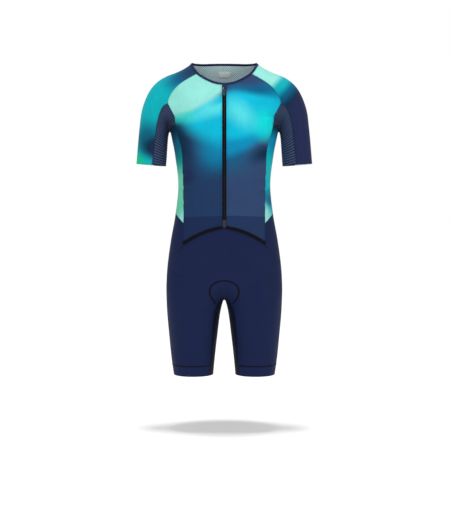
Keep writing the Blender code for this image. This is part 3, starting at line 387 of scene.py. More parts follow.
def by_chunks(function, points, *more):
    """A function of points, worked out a few thousand at a time."""
    points = np.asarray(points, float).reshape(-1, 3)
    found = []
    for start in range(0, len(points), CHUNK):
        chunk = slice(start, start + CHUNK)
        found.append(function(points[chunk], *[values[chunk] for values in more]))
    return np.concatenate(found)


def slope(points):
    """The form's gradient, by small steps each way."""
    parts = [form(points + move) - form(points - move) for move in np.eye(3) * SLOPE_STEP]
    return np.stack(parts, axis=1) / (2 * SLOPE_STEP)


def land_chunk(points, rounds=3, longest=0.01):
    """A few thousand points moved to the form's surface."""
    points = points.copy()
    on_middle = points[:, 0] == 0
    for _ in range(rounds):
        away = slope(points)
        move = -form(points)[:, None] * away / (away**2).sum(1)[:, None]
        size = np.linalg.norm(move, axis=1)[:, None]
        points += move * np.minimum(1, longest / np.maximum(size, 1e-12))
        points[on_middle, 0] = 0
    return points


def land(points):
    """Points moved to the form's surface, the short way."""
    return by_chunks(land_chunk, points)


def outward_chunk(points):
    """The way out of the cloth at a few thousand points."""
    away = slope(points)
    away[points[:, 0] == 0, 0] = 0
    return away / np.linalg.norm(away, axis=1)[:, None]


def outward(points):
    """The way out of the cloth at each point."""
    return by_chunks(outward_chunk, points)


def lengths(points):
    """How far along a line each of its points is."""
    return np.append(0, np.cumsum(np.linalg.norm(np.diff(points, axis=0), axis=1)))


def resampled(points, count):
    """A line cut into equal steps."""
    run = lengths(points)
    at = np.linspace(0, run[-1], count + 1)
    return np.column_stack([np.interp(at, run, axis) for axis in np.asarray(points).T])


def crease_lines():
    """Each crease as the points of a smooth curve on the form, with its width and depth."""
    found = []
    share = np.linspace(0, 1, CREASE_STEPS + 1)[:, None]
    for row in CREASES:
        ends = np.array(row[:9]).reshape(3, 3)
        bend = 2 * ends[1] - (ends[0] + ends[2]) / 2
        curve = (1 - share) ** 2 * ends[0] + 2 * share * (1 - share) * bend + share**2 * ends[2]
        found.append((land(curve), row.width, row.depth))
        if row.both:
            other = (curve + np.array(OTHER_SIDE_SHIFT)) * np.array((-1.0, 1.0, 1.0))
            found.append((land(other), row.width, row.depth * OTHER_SIDE_SHARE))
    return found


def creased(points):
    """How far each point sinks into the creases: a trough with a low lip on each side."""
    sunk = np.zeros(len(points))
    for curve, width, depth in CREASE_LINES:
        reach = 4 * width
        near = np.all((points > curve.min(0) - reach) & (points < curve.max(0) + reach), axis=1)
        if not near.any():
            continue
        offset = points[near][:, None, :] - curve[None]
        distance = np.linalg.norm(offset, axis=2)
        best = distance.argmin(1)
        start = np.clip(best - 1, 0, len(curve) - 3)
        gap = np.full(len(best), np.inf)
        at = np.zeros(len(best))
        for step in range(2):
            first, run = curve[start + step], curve[start + step + 1] - curve[start + step]
            share = ((points[near] - first) * run).sum(1) / (run**2).sum(1)
            share = np.clip(share, 0, 1)
            here = np.linalg.norm(points[near] - first - share[:, None] * run, axis=1)
            closer = here < gap
            gap = np.where(closer, here, gap)
            at = np.where(closer, start + step + share, at)
        along = at / (len(curve) - 1)
        u = gap / width
        sunk[near] += depth * np.sin(math.pi * along) ** 0.7 * (1 - u**2) * np.exp(-(u**2) / 2)
    return sunk


CREASE_LINES = crease_lines()


def alone(obj):
    """Selects one object and makes it the active one."""
    bpy.ops.object.select_all(action="DESELECT")
    obj.select_set(True)
    bpy.context.view_layer.objects.active = obj
    return obj


def apply_modifier(obj, kind, **settings):
    """Adds a modifier to an object and applies it."""
    alone(obj)
    modifier = obj.modifiers.new(kind.lower(), kind)
    for name, value in settings.items():
        setattr(modifier, name, value)
    bpy.ops.object.modifier_apply(modifier=modifier.name)


def points_of(obj):
    """The points of an object's mesh as rows of numbers."""
    flat = np.empty(len(obj.data.vertices) * 3)
    obj.data.vertices.foreach_get("co", flat)
    return flat.reshape(-1, 3)


def place_points(obj, points):
    """Moves the points of an object's mesh to new places."""
    obj.data.vertices.foreach_set("co", np.asarray(points, np.float32).ravel())
    obj.data.update()


def new_object(name, mesh):
    """An object of its own for a finished bmesh."""
    data = bpy.data.meshes.new(name)
    mesh.to_mesh(data)
    mesh.free()
    obj = bpy.data.objects.new(name, data)
    bpy.context.scene.collection.objects.link(obj)
    return obj


def boundary_run(vert):
    """The neighbours of a point on an open edge, and the way into the sheet from both its edges."""
    neighbours, sides = [], []
    for edge in vert.link_edges:
        if not edge.is_boundary:
            continue
        neighbours.append(edge.other_vert(vert))
        face = edge.link_faces[0]
        side = face.normal.cross(edge.verts[1].co - edge.verts[0].co).normalized()
        if side.dot(face.calc_center_median() - edge.verts[0].co) < 0:
            side.negate()
        sides.append(side)
    inwards = sum(sides, Vector())
    if len(sides) == 2:
        inwards /= max(0.5, 1 + sides[0].dot(sides[1]))
    return neighbours, inwards


def outer_cage(node, half_gap):
    """The outer face of a solid wall as an open sheet of quads that reaches the middle of its seams."""
    mesh = bmesh.new()
    mesh.from_mesh(NODES[node].data)
    bmesh.ops.remove_doubles(mesh, verts=mesh.verts, dist=WELD)
    away = outward([face.calc_center_median() for face in mesh.faces])
    hidden = [face for face, out in zip(mesh.faces, away) if face.normal.dot(out) < OUTER_FACING]
    bmesh.ops.delete(mesh, geom=hidden, context="FACES")
    flat = math.pi
    bmesh.ops.join_triangles(
        mesh, faces=mesh.faces[:], angle_face_threshold=flat, angle_shape_threshold=flat
    )
    lift = mesh.verts.layers.float.new("lift")
    heights = by_chunks(form, [vert.co for vert in mesh.verts])
    for vert, height in zip(mesh.verts, heights):
        vert[lift] = height
    moves = {}
    for vert in mesh.verts:
        if vert.is_boundary:
            moves[vert] = -boundary_run(vert)[1] * (half_gap + SEAM_OVERLAP)
    for vert, move in moves.items():
        vert.co += move
    return mesh


def corners_of(mesh):
    """Where the cut panel has its corners."""
    return [vert.co.copy() for vert in mesh.verts if vert.is_boundary and len(vert.link_faces) == 1]


def hold_corners(mesh, corners):
    """Keeps the open edges true when the sheet is subdivided, with a sharp point at each corner."""
    crease = mesh.verts.layers.float.new("crease_vert")
    held, moves = np.array(corners).reshape(-1, 3), {}
    for vert in mesh.verts:
        if not vert.is_boundary:
            continue
        if len(held) and np.linalg.norm(held - np.array(vert.co), axis=1).min() < CORNER_REACH:
            vert[crease] = 1.0
            continue
        neighbours = boundary_run(vert)[0]
        if len(neighbours) == 2:
            moves[vert] = -(neighbours[0].co + neighbours[1].co - 2 * vert.co) / 6
    for vert, move in moves.items():
        vert.co += move


def thicken(obj, thickness, materials):
    """Gives a sheet its wall, with the second material inside."""
    for material in materials:
        obj.data.materials.append(material)
    apply_modifier(
        obj,
        "SOLIDIFY",
        thickness=thickness,
        offset=-1.0,
        use_rim=True,
        material_offset=INNER_SLOT if len(materials) > 1 else 0,
        material_offset_rim=EDGE_SLOT,
    )
    obj.data.shade_smooth()
    bpy.ops.object.shade_smooth_by_angle(angle=math.radians(50))


def declare(obj, node):
    """Gives a cloth piece its body and hides its solid."""
    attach(obj, "suit")
    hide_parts(node)


def byte_colour(red, green, blue):
    """A colour read from a screen, from 0 to 255, as Blender's linear one."""
    parts = np.array((red, green, blue)) / 255
    linear = np.where(parts <= 0.04045, parts / 12.92, ((parts + 0.055) / 1.055) ** 2.4)
    return tuple(float(part) for part in linear)


def colour_property(name, description, *shade):
    """A colour that a maker would change."""
    default = byte_colour(*shade)
    return FloatVectorProperty(
        name=name, description=description, subtype="COLOR", size=3, min=0, max=1, default=default
    )


def length_property(name, description, metres):
    """A length that a maker would change."""
    return FloatProperty(
        name=name, description=description, default=metres, min=0, subtype="DISTANCE", unit="LENGTH"
    )


class SuitColours(bpy.types.PropertyGroup):
    """The dyes and prints, with painted highlight and painted shade in some of them."""

    mint: colour_property("Mint", "Palest field of the print", 138, 212, 202)
    mint_green: colour_property("Mint green", "Lower end of the side panel", 96, 188, 158)
    pale_cyan: colour_property("Pale cyan", "Light band across the chest", 78, 206, 213)
    cyan: colour_property("Cyan", "Main field of the chest", 0, 174, 203)
    aqua: colour_property("Aqua", "Outer edge of the chest", 4, 204, 205)
    teal: colour_property("Teal", "Between the mint and the cyan", 46, 194, 182)
    blue: colour_property("Blue", "Field below the chest", 0, 130, 172)
    mid_blue: colour_property("Middle blue", "Fades the blue into the slate", 0, 88, 126)
    deep: colour_property("Deep blue", "Darkest field of the print", 0, 38, 62)
    deep_sea: colour_property("Deep sea", "Dark end of the sea green", 0, 88, 114)
    slate: colour_property("Slate", "Right front's lower field and the shoulders", 26, 51, 87)
    slate_light: colour_property("Light slate", "Left front's lower field", 42, 63, 100)
    slate_low: colour_property("Low slate", "Right front where the shorts lie behind it", 20, 38, 75)
    low_light: colour_property("Light low slate", "Left front where the shorts lie behind it", 28, 47, 84)
    lagoon: colour_property("Lagoon", "Right side panel below the arm", 0, 138, 128)
    sea: colour_property("Sea green", "Sleeve and side panel", 0, 164, 174)
    green: colour_property("Green", "Outer cuff", 8, 186, 122)
    navy: colour_property("Navy", "Dark of the sleeve", 28, 37, 73)
    shorts: colour_property("Shorts navy", "Shorts and leg bands", 19, 30, 66)
    # Painted highlight and painted shade of the under-sleeve ribs: the lighter navy lies on each crest,
    # the darker in each groove
    ribbed: colour_property("Ribbed navy", "Ribs of the under-sleeves", 64, 80, 112)
    inner_leg: colour_property("Inner-leg navy", "Inner-leg panels", 8, 13, 34)
    groove_painted_shade: colour_property("Groove navy", "Between the ribs of the under-sleeves", 22, 32, 56)
    cord: colour_property("Corded lines", "Stitched outline of the pad", 6, 8, 22)
    black: colour_property("Black trim", "Zip tapes and hem tapes", 4, 5, 9)
    lining: colour_property("Pale lining", "Inside of the upper body", 222, 252, 255)
    # Painted shade: the lining inside the neck is darker lower down
    lining_painted_shade: colour_property("Low lining", "Lining lower down", 152, 172, 204)
    pad: colour_property("Pad", "Padded seat", 58, 62, 74)
    label: colour_property("Label", "Neck label", 246, 246, 248)
    zip_plastic: colour_property("Zip plastic", "Slider, pull and end box", 12, 13, 18)
    thread: colour_property("Thread", "Seam stitches", 10, 15, 32)


class SuitSizes(bpy.types.PropertyGroup):
    """Sizes a maker would change."""

    cloth: length_property("Cloth", "Thickness of the cloth", 0.0010)
    band: length_property("Neckband thickness", "Thickness of the folded neckband", 0.0020)
    stitch_pitch: length_property("Stitch pitch", "From one seam stitch to the next", 0.0034)
    tooth_pitch: length_property("Tooth pitch", "From one turn of the zip's coil to the next", 0.0016)
    rib_pitch: length_property("Rib pitch", "From one rib of the under-sleeve to the next", 0.0076)
    rib_height: length_property("Rib height", "How far a rib stands out", 0.0009)
    dot_pitch: length_property("Dot pitch", "From one hole of the lining to the next", 0.0066)


def colour(name):
    """One of the suit's colours, with its alpha."""
    return (*getattr(bpy.context.scene.suit_colours, name), 1.0)


def sizes():
    """The sizes that a maker would change."""
    return bpy.context.scene.suit_sizes


def new_group(name, inputs, outputs):
    """A shader node group with its named sockets. An input is its name, kind and value."""
    group = bpy.data.node_groups.new(name, "ShaderNodeTree")
    for label, kind, value in inputs:
        socket = group.interface.new_socket(name=label, in_out="INPUT", socket_type=kind)
        if value is not None:
            socket.default_value = value
    for label, kind in outputs:
        group.interface.new_socket(name=label, in_out="OUTPUT", socket_type=kind)
    return group, group.nodes.new("NodeGroupInput"), group.nodes.new("NodeGroupOutput")


def math_node(tree, operation, first, second=None):
    """The outcome of one sum on a value."""
    node = tree.nodes.new("ShaderNodeMath")
    node.operation = operation
    for socket, value in zip(node.inputs, (first, second)):
        feed(tree, value, socket)
    return node.outputs[0]


def vector_node(tree, operation, first, second=None):
    """A node that works one sum on a vector."""
    node = tree.nodes.new("ShaderNodeVectorMath")
    node.operation = operation
    for socket, value in zip(node.inputs, (first, second)):
        feed(tree, value, socket)
    return node


def feed(tree, value, socket):
    """Links a socket to another, or sets its number."""
    if value is None:
        return
    if isinstance(value, bpy.types.NodeSocket):
        tree.links.new(value, socket)
    else:
        socket.default_value = value


def mixed(tree, share, first, second):
    """The second colour laid over the first by a share."""
    node = tree.nodes.new("ShaderNodeMix")
    node.data_type = "RGBA"
    feed(tree, share, node.inputs["Factor"])
    feed(tree, first, node.inputs[6])
    feed(tree, second, node.inputs[7])
    return node.outputs[2]


def ranged(tree, value, low, high, to_low, to_high):
    """A value eased from one range into another."""
    node = tree.nodes.new("ShaderNodeMapRange")
    node.interpolation_type = "SMOOTHSTEP"
    for socket, number in zip(node.inputs, (value, low, high, to_low, to_high)):
        feed(tree, number, socket)
    return node.outputs[0]


def soft_field_group():
    """The share of a soft oval field of the print at a point."""
    inputs = [
        ("Vector", "NodeSocketVector", None),
        ("Middle", "NodeSocketVector", None),
        ("Half size", "NodeSocketVector", None),
        ("Turn", "NodeSocketFloat", 0.0),
        ("Full share", "NodeSocketFloat", 0.1),
    ]
    group, start, end = new_group("Soft field", inputs, [("Mask", "NodeSocketFloat")])
    offset = vector_node(group, "SUBTRACT", start.outputs["Vector"], start.outputs["Middle"]).outputs[0]
    turn = group.nodes.new("ShaderNodeVectorRotate")
    turn.rotation_type = "Y_AXIS"
    feed(group, offset, turn.inputs["Vector"])
    feed(group, start.outputs["Turn"], turn.inputs["Angle"])
    ratio = vector_node(group, "DIVIDE", turn.outputs[0], start.outputs["Half size"]).outputs[0]
    flat = vector_node(group, "MULTIPLY", ratio, (1.0, 0.0, 1.0)).outputs[0]
    distance = vector_node(group, "LENGTH", flat).outputs["Value"]
    node = group.nodes.new("ShaderNodeMapRange")
    node.interpolation_type = "SMOOTHSTEP"
    feed(group, distance, node.inputs["Value"])
    feed(group, start.outputs["Full share"], node.inputs["From Min"])
    node.inputs["From Max"].default_value = 1.0
    node.inputs["To Min"].default_value = 1.0
    node.inputs["To Max"].default_value = 0.0
    group.links.new(node.outputs[0], end.inputs["Mask"])


def knit_group():
    """Fine upright wales of a lycra knit, with slow unevenness: its height, and its light and dark."""
    inputs = [("Vector", "NodeSocketVector", None), ("Wales", "NodeSocketFloat", 1400.0)]
    outputs = [("Height", "NodeSocketFloat"), ("Shade", "NodeSocketFloat")]
    group, start, end = new_group("Knit", inputs, outputs)
    scaled = vector_node(group, "SCALE", start.outputs["Vector"])
    feed(group, start.outputs["Wales"], scaled.inputs["Scale"])
    loops = group.nodes.new("ShaderNodeTexVoronoi")
    loops.inputs["Scale"].default_value = 1.0
    stretched = vector_node(group, "MULTIPLY", scaled.outputs[0], (1.0, 1.0, 0.6)).outputs[0]
    feed(group, stretched, loops.inputs["Vector"])
    slow = group.nodes.new("ShaderNodeTexNoise")
    slow.inputs["Scale"].default_value = 22.0
    slow.inputs["Detail"].default_value = 3.0
    feed(group, start.outputs["Vector"], slow.inputs["Vector"])
    streaks = group.nodes.new("ShaderNodeTexNoise")
    streaks.inputs["Scale"].default_value = 1.0
    streaks.inputs["Detail"].default_value = 2.0
    drawn_out = vector_node(group, "MULTIPLY", start.outputs["Vector"], (160, 160, 9)).outputs[0]
    feed(group, drawn_out, streaks.inputs["Vector"])
    height = math_node(group, "SUBTRACT", 1.0, loops.outputs["Distance"])
    slow_share = math_node(group, "MULTIPLY", slow.outputs[0], 0.6)
    streak_share = math_node(group, "MULTIPLY", streaks.outputs[0], 0.4)
    both = math_node(group, "ADD", slow_share, streak_share)
    group.links.new(height, end.inputs["Height"])
    group.links.new(ranged(group, both, 0.30, 0.70, 0.0, 1.0), end.inputs["Shade"])


def dots_group():
    """A staggered net of small round holes across the cloth."""
    inputs = [
        ("Vector", "NodeSocketVector", None),
        ("Pitch", "NodeSocketFloat", 0.008),
        ("Radius", "NodeSocketFloat", 0.18),
    ]
    group, start, end = new_group("Dots", inputs, [("Mask", "NodeSocketFloat")])
    apart = group.nodes.new("ShaderNodeSeparateXYZ")
    feed(group, start.outputs["Vector"], apart.inputs[0])
    across = math_node(group, "DIVIDE", apart.outputs["X"], start.outputs["Pitch"])
    row_pitch = math_node(group, "MULTIPLY", start.outputs["Pitch"], 0.5)
    down = math_node(group, "DIVIDE", apart.outputs["Z"], row_pitch)
    row = math_node(group, "FLOOR", down)
    shift = math_node(group, "MULTIPLY", row, 0.5)
    column = math_node(group, "FRACT", math_node(group, "ADD", across, shift))
    x = math_node(group, "SUBTRACT", column, 0.5)
    in_row = math_node(group, "SUBTRACT", math_node(group, "FRACT", down), 0.5)
    z = math_node(group, "MULTIPLY", in_row, 0.5)
    x_square = math_node(group, "MULTIPLY", x, x)
    z_square = math_node(group, "MULTIPLY", z, z)
    squares = math_node(group, "ADD", x_square, z_square)
    distance = math_node(group, "SQRT", squares)
    edge = math_node(group, "MULTIPLY", start.outputs["Radius"], 0.7)
    node = group.nodes.new("ShaderNodeMapRange")
    for socket, value in zip(node.inputs, (distance, edge, start.outputs["Radius"], 1.0, 0.0)):
        feed(group, value, socket)
    group.links.new(node.outputs[0], end.inputs["Mask"])


def place_group(tree, name, **values):
    """Puts a node group in a material, with its own values."""
    node = tree.nodes.new("ShaderNodeGroup")
    node.node_tree = bpy.data.node_groups[name]
    for label, value in values.items():
        feed(tree, value, node.inputs[label.replace("_", " ")])
    return node


def new_material(name, roughness, **constants):
    """A material with its Principled shader, and the point on the object to read patterns at."""
    material = bpy.data.materials.new(name)
    material.use_nodes = True
    tree = material.node_tree
    shader = tree.nodes["Principled BSDF"]
    shader.inputs["Roughness"].default_value = roughness
    for label, value in constants.items():
        shader.inputs[label.replace("_", " ")].default_value = value
    where = tree.nodes.new("ShaderNodeTexCoord").outputs["Object"]
    return material, tree, shader, where


def bumped(tree, shader, height, strength, distance):
    """Fine relief from a height."""
    bump = tree.nodes.new("ShaderNodeBump")
    bump.inputs["Strength"].default_value = strength
    bump.inputs["Distance"].default_value = distance
    feed(tree, height, bump.inputs["Height"])
    tree.links.new(bump.outputs[0], shader.inputs["Normal"])


def shaded(tree, base, share, strength):
    """A colour with a darker one worked in by a mask."""
    dark = tree.nodes.new("ShaderNodeHueSaturation")
    dark.inputs["Value"].default_value = 1.0 - strength
    feed(tree, base, dark.inputs["Color"])
    return mixed(tree, share, dark.outputs[0], base)


def lycra(name, base, fields=()):
    """Printed or dyed lycra: soft colour fields over a fine knit, with a little sheen. On the side panels
    some fields are painted shade under the arms.
    """
    material, tree, shader, where = new_material(
        name,
        LYCRA_ROUGHNESS,
        Sheen_Weight=LYCRA_SHEEN,
        Sheen_Roughness=0.45,
        Specular_IOR_Level=LYCRA_GLOSS,
    )
    paint = base
    for field in fields:
        mask = place_group(
            tree,
            "Soft field",
            Vector=where,
            Middle=(field.x, 0.0, field.z),
            Half_size=(field.wide, 1.0, field.high),
            Turn=math.radians(field.turn),
            Full_share=field.edge,
        )
        paint = mixed(tree, mask.outputs[0], paint, colour(field.colour))
    knit = place_group(tree, "Knit", Vector=where)
    paint = shaded(tree, paint, knit.outputs["Shade"], 0.10)
    tree.links.new(paint, shader.inputs["Base Color"])
    uneven = ranged(tree, knit.outputs["Shade"], 0, 1, LYCRA_ROUGHNESS - 0.05, LYCRA_ROUGHNESS + 0.06)
    feed(tree, uneven, shader.inputs["Roughness"])
    bumped(tree, shader, knit.outputs["Height"], 0.25, 0.0002)
    return material


def ribbed(name, crest_painted_highlight, valley_painted_shade):
    """A knit whose rib crests carry a painted highlight and whose grooves carry painted shade. The ribs'
    height is an attribute.
    """
    constants = {"Sheen_Weight": LYCRA_SHEEN, "Specular_IOR_Level": LYCRA_GLOSS}
    material, tree, shader, where = new_material(name, RIBBED_ROUGHNESS, **constants)
    rib = tree.nodes.new("ShaderNodeAttribute")
    rib.attribute_name = "rib"
    knit = place_group(tree, "Knit", Vector=where)
    # Painted highlight on the crests and painted shade in the grooves, mixed by the ribs' height
    paint = shaded(tree, mixed(tree, rib.outputs["Fac"], valley_painted_shade, crest_painted_highlight), knit.outputs["Shade"], 0.12)
    tree.links.new(paint, shader.inputs["Base Color"])
    bumped(tree, shader, knit.outputs["Height"], 0.3, 0.0002)
    return material


def lining(name, base, radius):
    """The inside of the cloth: a knit with a net of small holes. In a band below the neck it is mixed
    towards the low lining colour, painted shade on the pale lining.
    """
    material, tree, shader, where = new_material(name, 0.8, Sheen_Weight=0.05, Specular_IOR_Level=0.1)
    dots = place_group(tree, "Dots", Vector=where, Pitch=sizes().dot_pitch, Radius=radius)
    knit = place_group(tree, "Knit", Vector=where)
    painted_shade = place_group(
        tree,
        "Soft field",
        Vector=where,
        Middle=(0, 0, LINING_SHADE_HEIGHT),
        Half_size=LINING_SHADE_SIZE,
        Full_share=0.2,
    )
    # Painted shade: the lining is mixed towards its low colour in a band below the neck
    paint = mixed(tree, painted_shade.outputs[0], base, colour("lining_painted_shade"))
    paint = shaded(tree, paint, knit.outputs["Shade"], 0.08)
    dark = tree.nodes.new("ShaderNodeHueSaturation")
    dark.inputs["Value"].default_value = HOLE_SHADE
    feed(tree, paint, dark.inputs["Color"])
    paint = mixed(tree, dots.outputs[0], paint, dark.outputs[0])
    tree.links.new(paint, shader.inputs["Base Color"])
    sunk = math_node(tree, "MULTIPLY", dots.outputs[0], 2.0)
    height = math_node(tree, "SUBTRACT", knit.outputs["Height"], sunk)
    bumped(tree, shader, height, 0.4, 0.0003)
    return material


def woven(name, base, roughness, scale, strength):
    """Tape, band or thread: a close weave that runs round it."""
    material, tree, shader, where = new_material(name, roughness, Specular_IOR_Level=0.10)
    wave = tree.nodes.new("ShaderNodeTexWave")
    wave.bands_direction = "Z"
    wave.inputs["Scale"].default_value = scale
    wave.inputs["Distortion"].default_value = 1.5
    wave.inputs["Detail"].default_value = 1.0
    feed(tree, where, wave.inputs["Vector"])
    knit = place_group(tree, "Knit", Vector=where, Wales=900.0)
    paint = shaded(tree, base, knit.outputs["Shade"], 0.18)
    tree.links.new(paint, shader.inputs["Base Color"])
    height = math_node(tree, "ADD", wave.outputs["Fac"], knit.outputs["Height"])
    bumped(tree, shader, height, strength, 0.0003)
    return material


def moulded(name, base, roughness):
    """Moulded plastic with faint grain and rubbed spots."""
    material, tree, shader, where = new_material(name, roughness, Specular_IOR_Level=0.5)
    grain = tree.nodes.new("ShaderNodeTexNoise")
    grain.inputs["Scale"].default_value = 900.0
    rub = tree.nodes.new("ShaderNodeTexNoise")
    rub.inputs["Scale"].default_value = 160.0
    for node in (grain, rub):
        feed(tree, where, node.inputs["Vector"])
    tree.links.new(shaded(tree, base, rub.outputs[0], 0.25), shader.inputs["Base Color"])
    rubbed = ranged(tree, rub.outputs[0], 0.35, 0.7, roughness - 0.12, roughness + 0.1)
    feed(tree, rubbed, shader.inputs["Roughness"])
    bumped(tree, shader, grain.outputs[0], 0.2, 0.0002)
    return material


def material_for(panel):
    """The outer material of a cloth piece, by the start of its name."""
    return bpy.data.materials[MATERIAL_NAMES[panel]]


class SUIT_OT_materials(bpy.types.Operator):
    """Mix the prints, dyes and plastics."""

    bl_idname = "suit.materials"
    bl_label = "Materials"

    def execute(self, context):
        soft_field_group()
        knit_group()
        dots_group()
        for panel, (base, fields) in PRINTS.items():
            lycra(MATERIAL_NAMES[panel], colour(base), fields=fields)
        lycra("Shorts lycra", colour("shorts"))
        ribbed("Ribbed lycra", colour("ribbed"), colour("groove_painted_shade"))
        lycra("Inner-leg lycra", colour("inner_leg"))
        lycra("Neckband lycra", colour("navy"))
        lycra("Leg band", colour("shorts"))
        woven("Corded line", colour("cord"), 0.7, 900.0, 0.3)
        lining("Pale lining", colour("lining"), 0.27)
        # The dark lining is the shorts' and under-sleeves' own inside, and painted shade inside the side
        # panels
        lining("Dark lining", colour("inner_leg"), 0.0)
        woven("Black elastic", colour("black"), 0.7, 700.0, 0.35)
        woven("Black tape", colour("black"), 0.75, 900.0, 0.3)
        woven("Seam thread", colour("thread"), 0.6, 1500.0, 0.2)
        woven("Label satin", colour("label"), 0.45, 1600.0, 0.15)
        woven("Pad foam", colour("pad"), 0.85, 400.0, 0.3)
        moulded("Zip plastic", colour("zip_plastic"), 0.42)
        moulded("Pale dot", colour("mint"), 0.5)
        return {"FINISHED"}


def cloth_piece(
    node, panel, levels, half_gap=SEAM_HALF_GAP, thickness=None, inside=None, edit=None
):
    """Makes one cloth piece, its seam lines included, in place of its solid."""
    mesh = outer_cage(node, half_gap)
    hold_corners(mesh, corners_of(mesh))
    obj = new_object(node + "_cloth", mesh)
    apply_modifier(
        obj, "SUBSURF", levels=levels, render_levels=levels, boundary_smooth="PRESERVE_CORNERS"
    )
    lift = np.empty(len(obj.data.vertices))
    obj.data.attributes["lift"].data.foreach_get("value", lift)
    points = land(points_of(obj))
    away = outward(points)
    if edit:
        lift = edit(obj, points)
    place_points(obj, points + away * (lift - creased(points))[:, None])
    SEAM_SHEETS[node] = seam_lines(obj)
    materials = [material_for(panel)]
    if inside:
        materials.append(bpy.data.materials[inside])
    thicken(obj, thickness or sizes().cloth, materials)
    declare(obj, node)
    return obj


def seam_lines(obj):
    """The open edges of a sheet as lines between corners, with the ways into and out of the cloth."""
    mesh = bmesh.new()
    mesh.from_mesh(obj.data)
    mesh.verts.ensure_lookup_table()
    rim = {vert.index: boundary_run(vert) for vert in mesh.verts if vert.is_boundary}
    corners = set()
    for index, (ends, _) in rim.items():
        if len(ends) != 2 or len(mesh.verts[index].link_faces) == 1:
            corners.add(index)
    found, used = [], set()
    starts = sorted(corners) + sorted(set(rim) - corners)
    for start in starts:
        for first in rim[start][0]:
            if (start, first.index) in used:
                continue
            run, here = [start], first.index
            used.add((start, here))
            while True:
                run.append(here)
                if here in corners or here == start:
                    break
                onward = [v.index for v in rim[here][0] if v.index != run[-2]]
                used.add((here, run[-2]))
                used.add((here, onward[0]))
                here = onward[0]
            used.add((run[-1], run[-2]))
            points = np.array([mesh.verts[i].co for i in run])
            inwards = np.array([rim[i][1] for i in run])
            normals = np.array([mesh.verts[i].normal for i in run])
            inwards[0], inwards[-1] = inwards[1], inwards[-2]
            found.append((points, inwards, normals))
    mesh.free()
    return found


def slanting_ribs(obj, points):
    """Ribs that rise outwards, steeper near the armpit and almost level at the cuff."""
    pitch, tall = sizes().rib_pitch, sizes().rib_height
    aside = np.abs(points[:, 0]) - RIB_MIDDLE
    fall = ease(RIB_LEVEL_HEIGHT, RIB_STEEP_HEIGHT, points[:, 2])
    slant = RIB_FLAT + (RIB_STEEP - RIB_FLAT) * fall
    phase = (points[:, 2] - slant * aside) / pitch
    wave = (0.5 + 0.5 * np.cos(2 * math.pi * phase)) ** 1.5
    wave *= np.minimum(1, edge_distance(obj, points) / RIB_FADE)
    obj.data.attributes.new("rib", "FLOAT", "POINT").data.foreach_set("value", wave.astype(np.float32))
    return tall * wave


def edge_distance(obj, points):
    """How far each point of a sheet is from its open edges."""
    mesh = bmesh.new()
    mesh.from_mesh(obj.data)
    rim = np.array([points[vert.index] for vert in mesh.verts if vert.is_boundary])
    mesh.free()
    tree = KDTree(len(rim))
    for index, spot in enumerate(rim):
        tree.insert(spot, index)
    tree.balance()
    return np.array([tree.find(point)[2] for point in points])


class SUIT_OT_fronts(bpy.types.Operator):
    """Cut both printed fronts, with the pale lining that shows at the neck."""

    bl_idname = "suit.fronts"
    bl_label = "Fronts"

    def execute(self, context):
        for side in SIDES:
            name = "front_" + side
            cloth_piece(name, name, 3, inside="Pale lining")
        return {"FINISHED"}


class SUIT_OT_back(bpy.types.Operator):
    """Cut the back in one piece, with its pale lining."""

    bl_idname = "suit.back"
    bl_label = "Back"

    def execute(self, context):
        cloth_piece("back", "back", 3, inside="Pale lining")
        return {"FINISHED"}


class SUIT_OT_side_panels(bpy.types.Operator):
    """Cut the side panels, lined dark inside as painted shade under the arms."""

    bl_idname = "suit.side_panels"
    bl_label = "Side Panels"

    def execute(self, context):
        for side in SIDES:
            name = "side_" + side
            # The dark lining here is painted shade under the arms
            cloth_piece(name, name, 3, inside="Dark lining")
        return {"FINISHED"}


class SUIT_OT_sleeves(bpy.types.Operator):
    """Cut the raglan sleeves and the ribbed under-sleeves."""

    bl_idname = "suit.sleeves"
    bl_label = "Sleeves"

    def execute(self, context):
        for side in SIDES:
            name = "sleeve_" + side
            cloth_piece(name, name, 3, inside="Pale lining")
            cloth_piece(
                "undersleeve_" + side,
                "undersleeve",
                2,
                half_gap=DARK_SEAM_HALF_GAP,
                inside="Dark lining",
                edit=slanting_ribs,
            )
        return {"FINISHED"}


class SUIT_OT_shorts(bpy.types.Operator):
    """Cut the shorts: front, backs, inner-leg panels and leg bands."""

    bl_idname = "suit.shorts"
    bl_label = "Shorts"

    def execute(self, context):
        cloth_piece("shorts_front", "shorts_front", 3, inside="Dark lining")
        for side in SIDES:
            cloth_piece("shorts_back_" + side, "shorts_back", 3, inside="Dark lining")
            cloth_piece(
                "inner_leg_" + side, "inner_leg", 3, half_gap=DARK_SEAM_HALF_GAP, inside="Dark lining"
            )
            cloth_piece("leg_band_" + side, "leg_band", 3, inside="Dark lining")
        return {"FINISHED"}


class SUIT_OT_bindings(bpy.types.Operator):
    """Cut the neckband, the elastic along the fronts' lower edge and the zip tapes."""

    bl_idname = "suit.bindings"
    bl_label = "Bindings"

    def execute(self, context):
        cloth_piece("neckband", "neckband", 3, thickness=sizes().band)
        for side in SIDES:
            cloth_piece("hem_tape_" + side, "hem_tape", 4, half_gap=TAPE_HALF_GAP)
            cloth_piece("zip_tape_" + side, "zip_tape", 2)
        return {"FINISHED"}


def small_part(name, make, material, body="suit"):
    """One rigid piece, made in its own axes by a function that leaves it active."""
    bpy.ops.object.select_all(action="DESELECT")
    make()
    obj = bpy.context.object
    obj.name = obj.data.name = name
    obj.data.materials.clear()
    obj.data.materials.append(bpy.data.materials[material])
    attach(obj, body)
    return obj


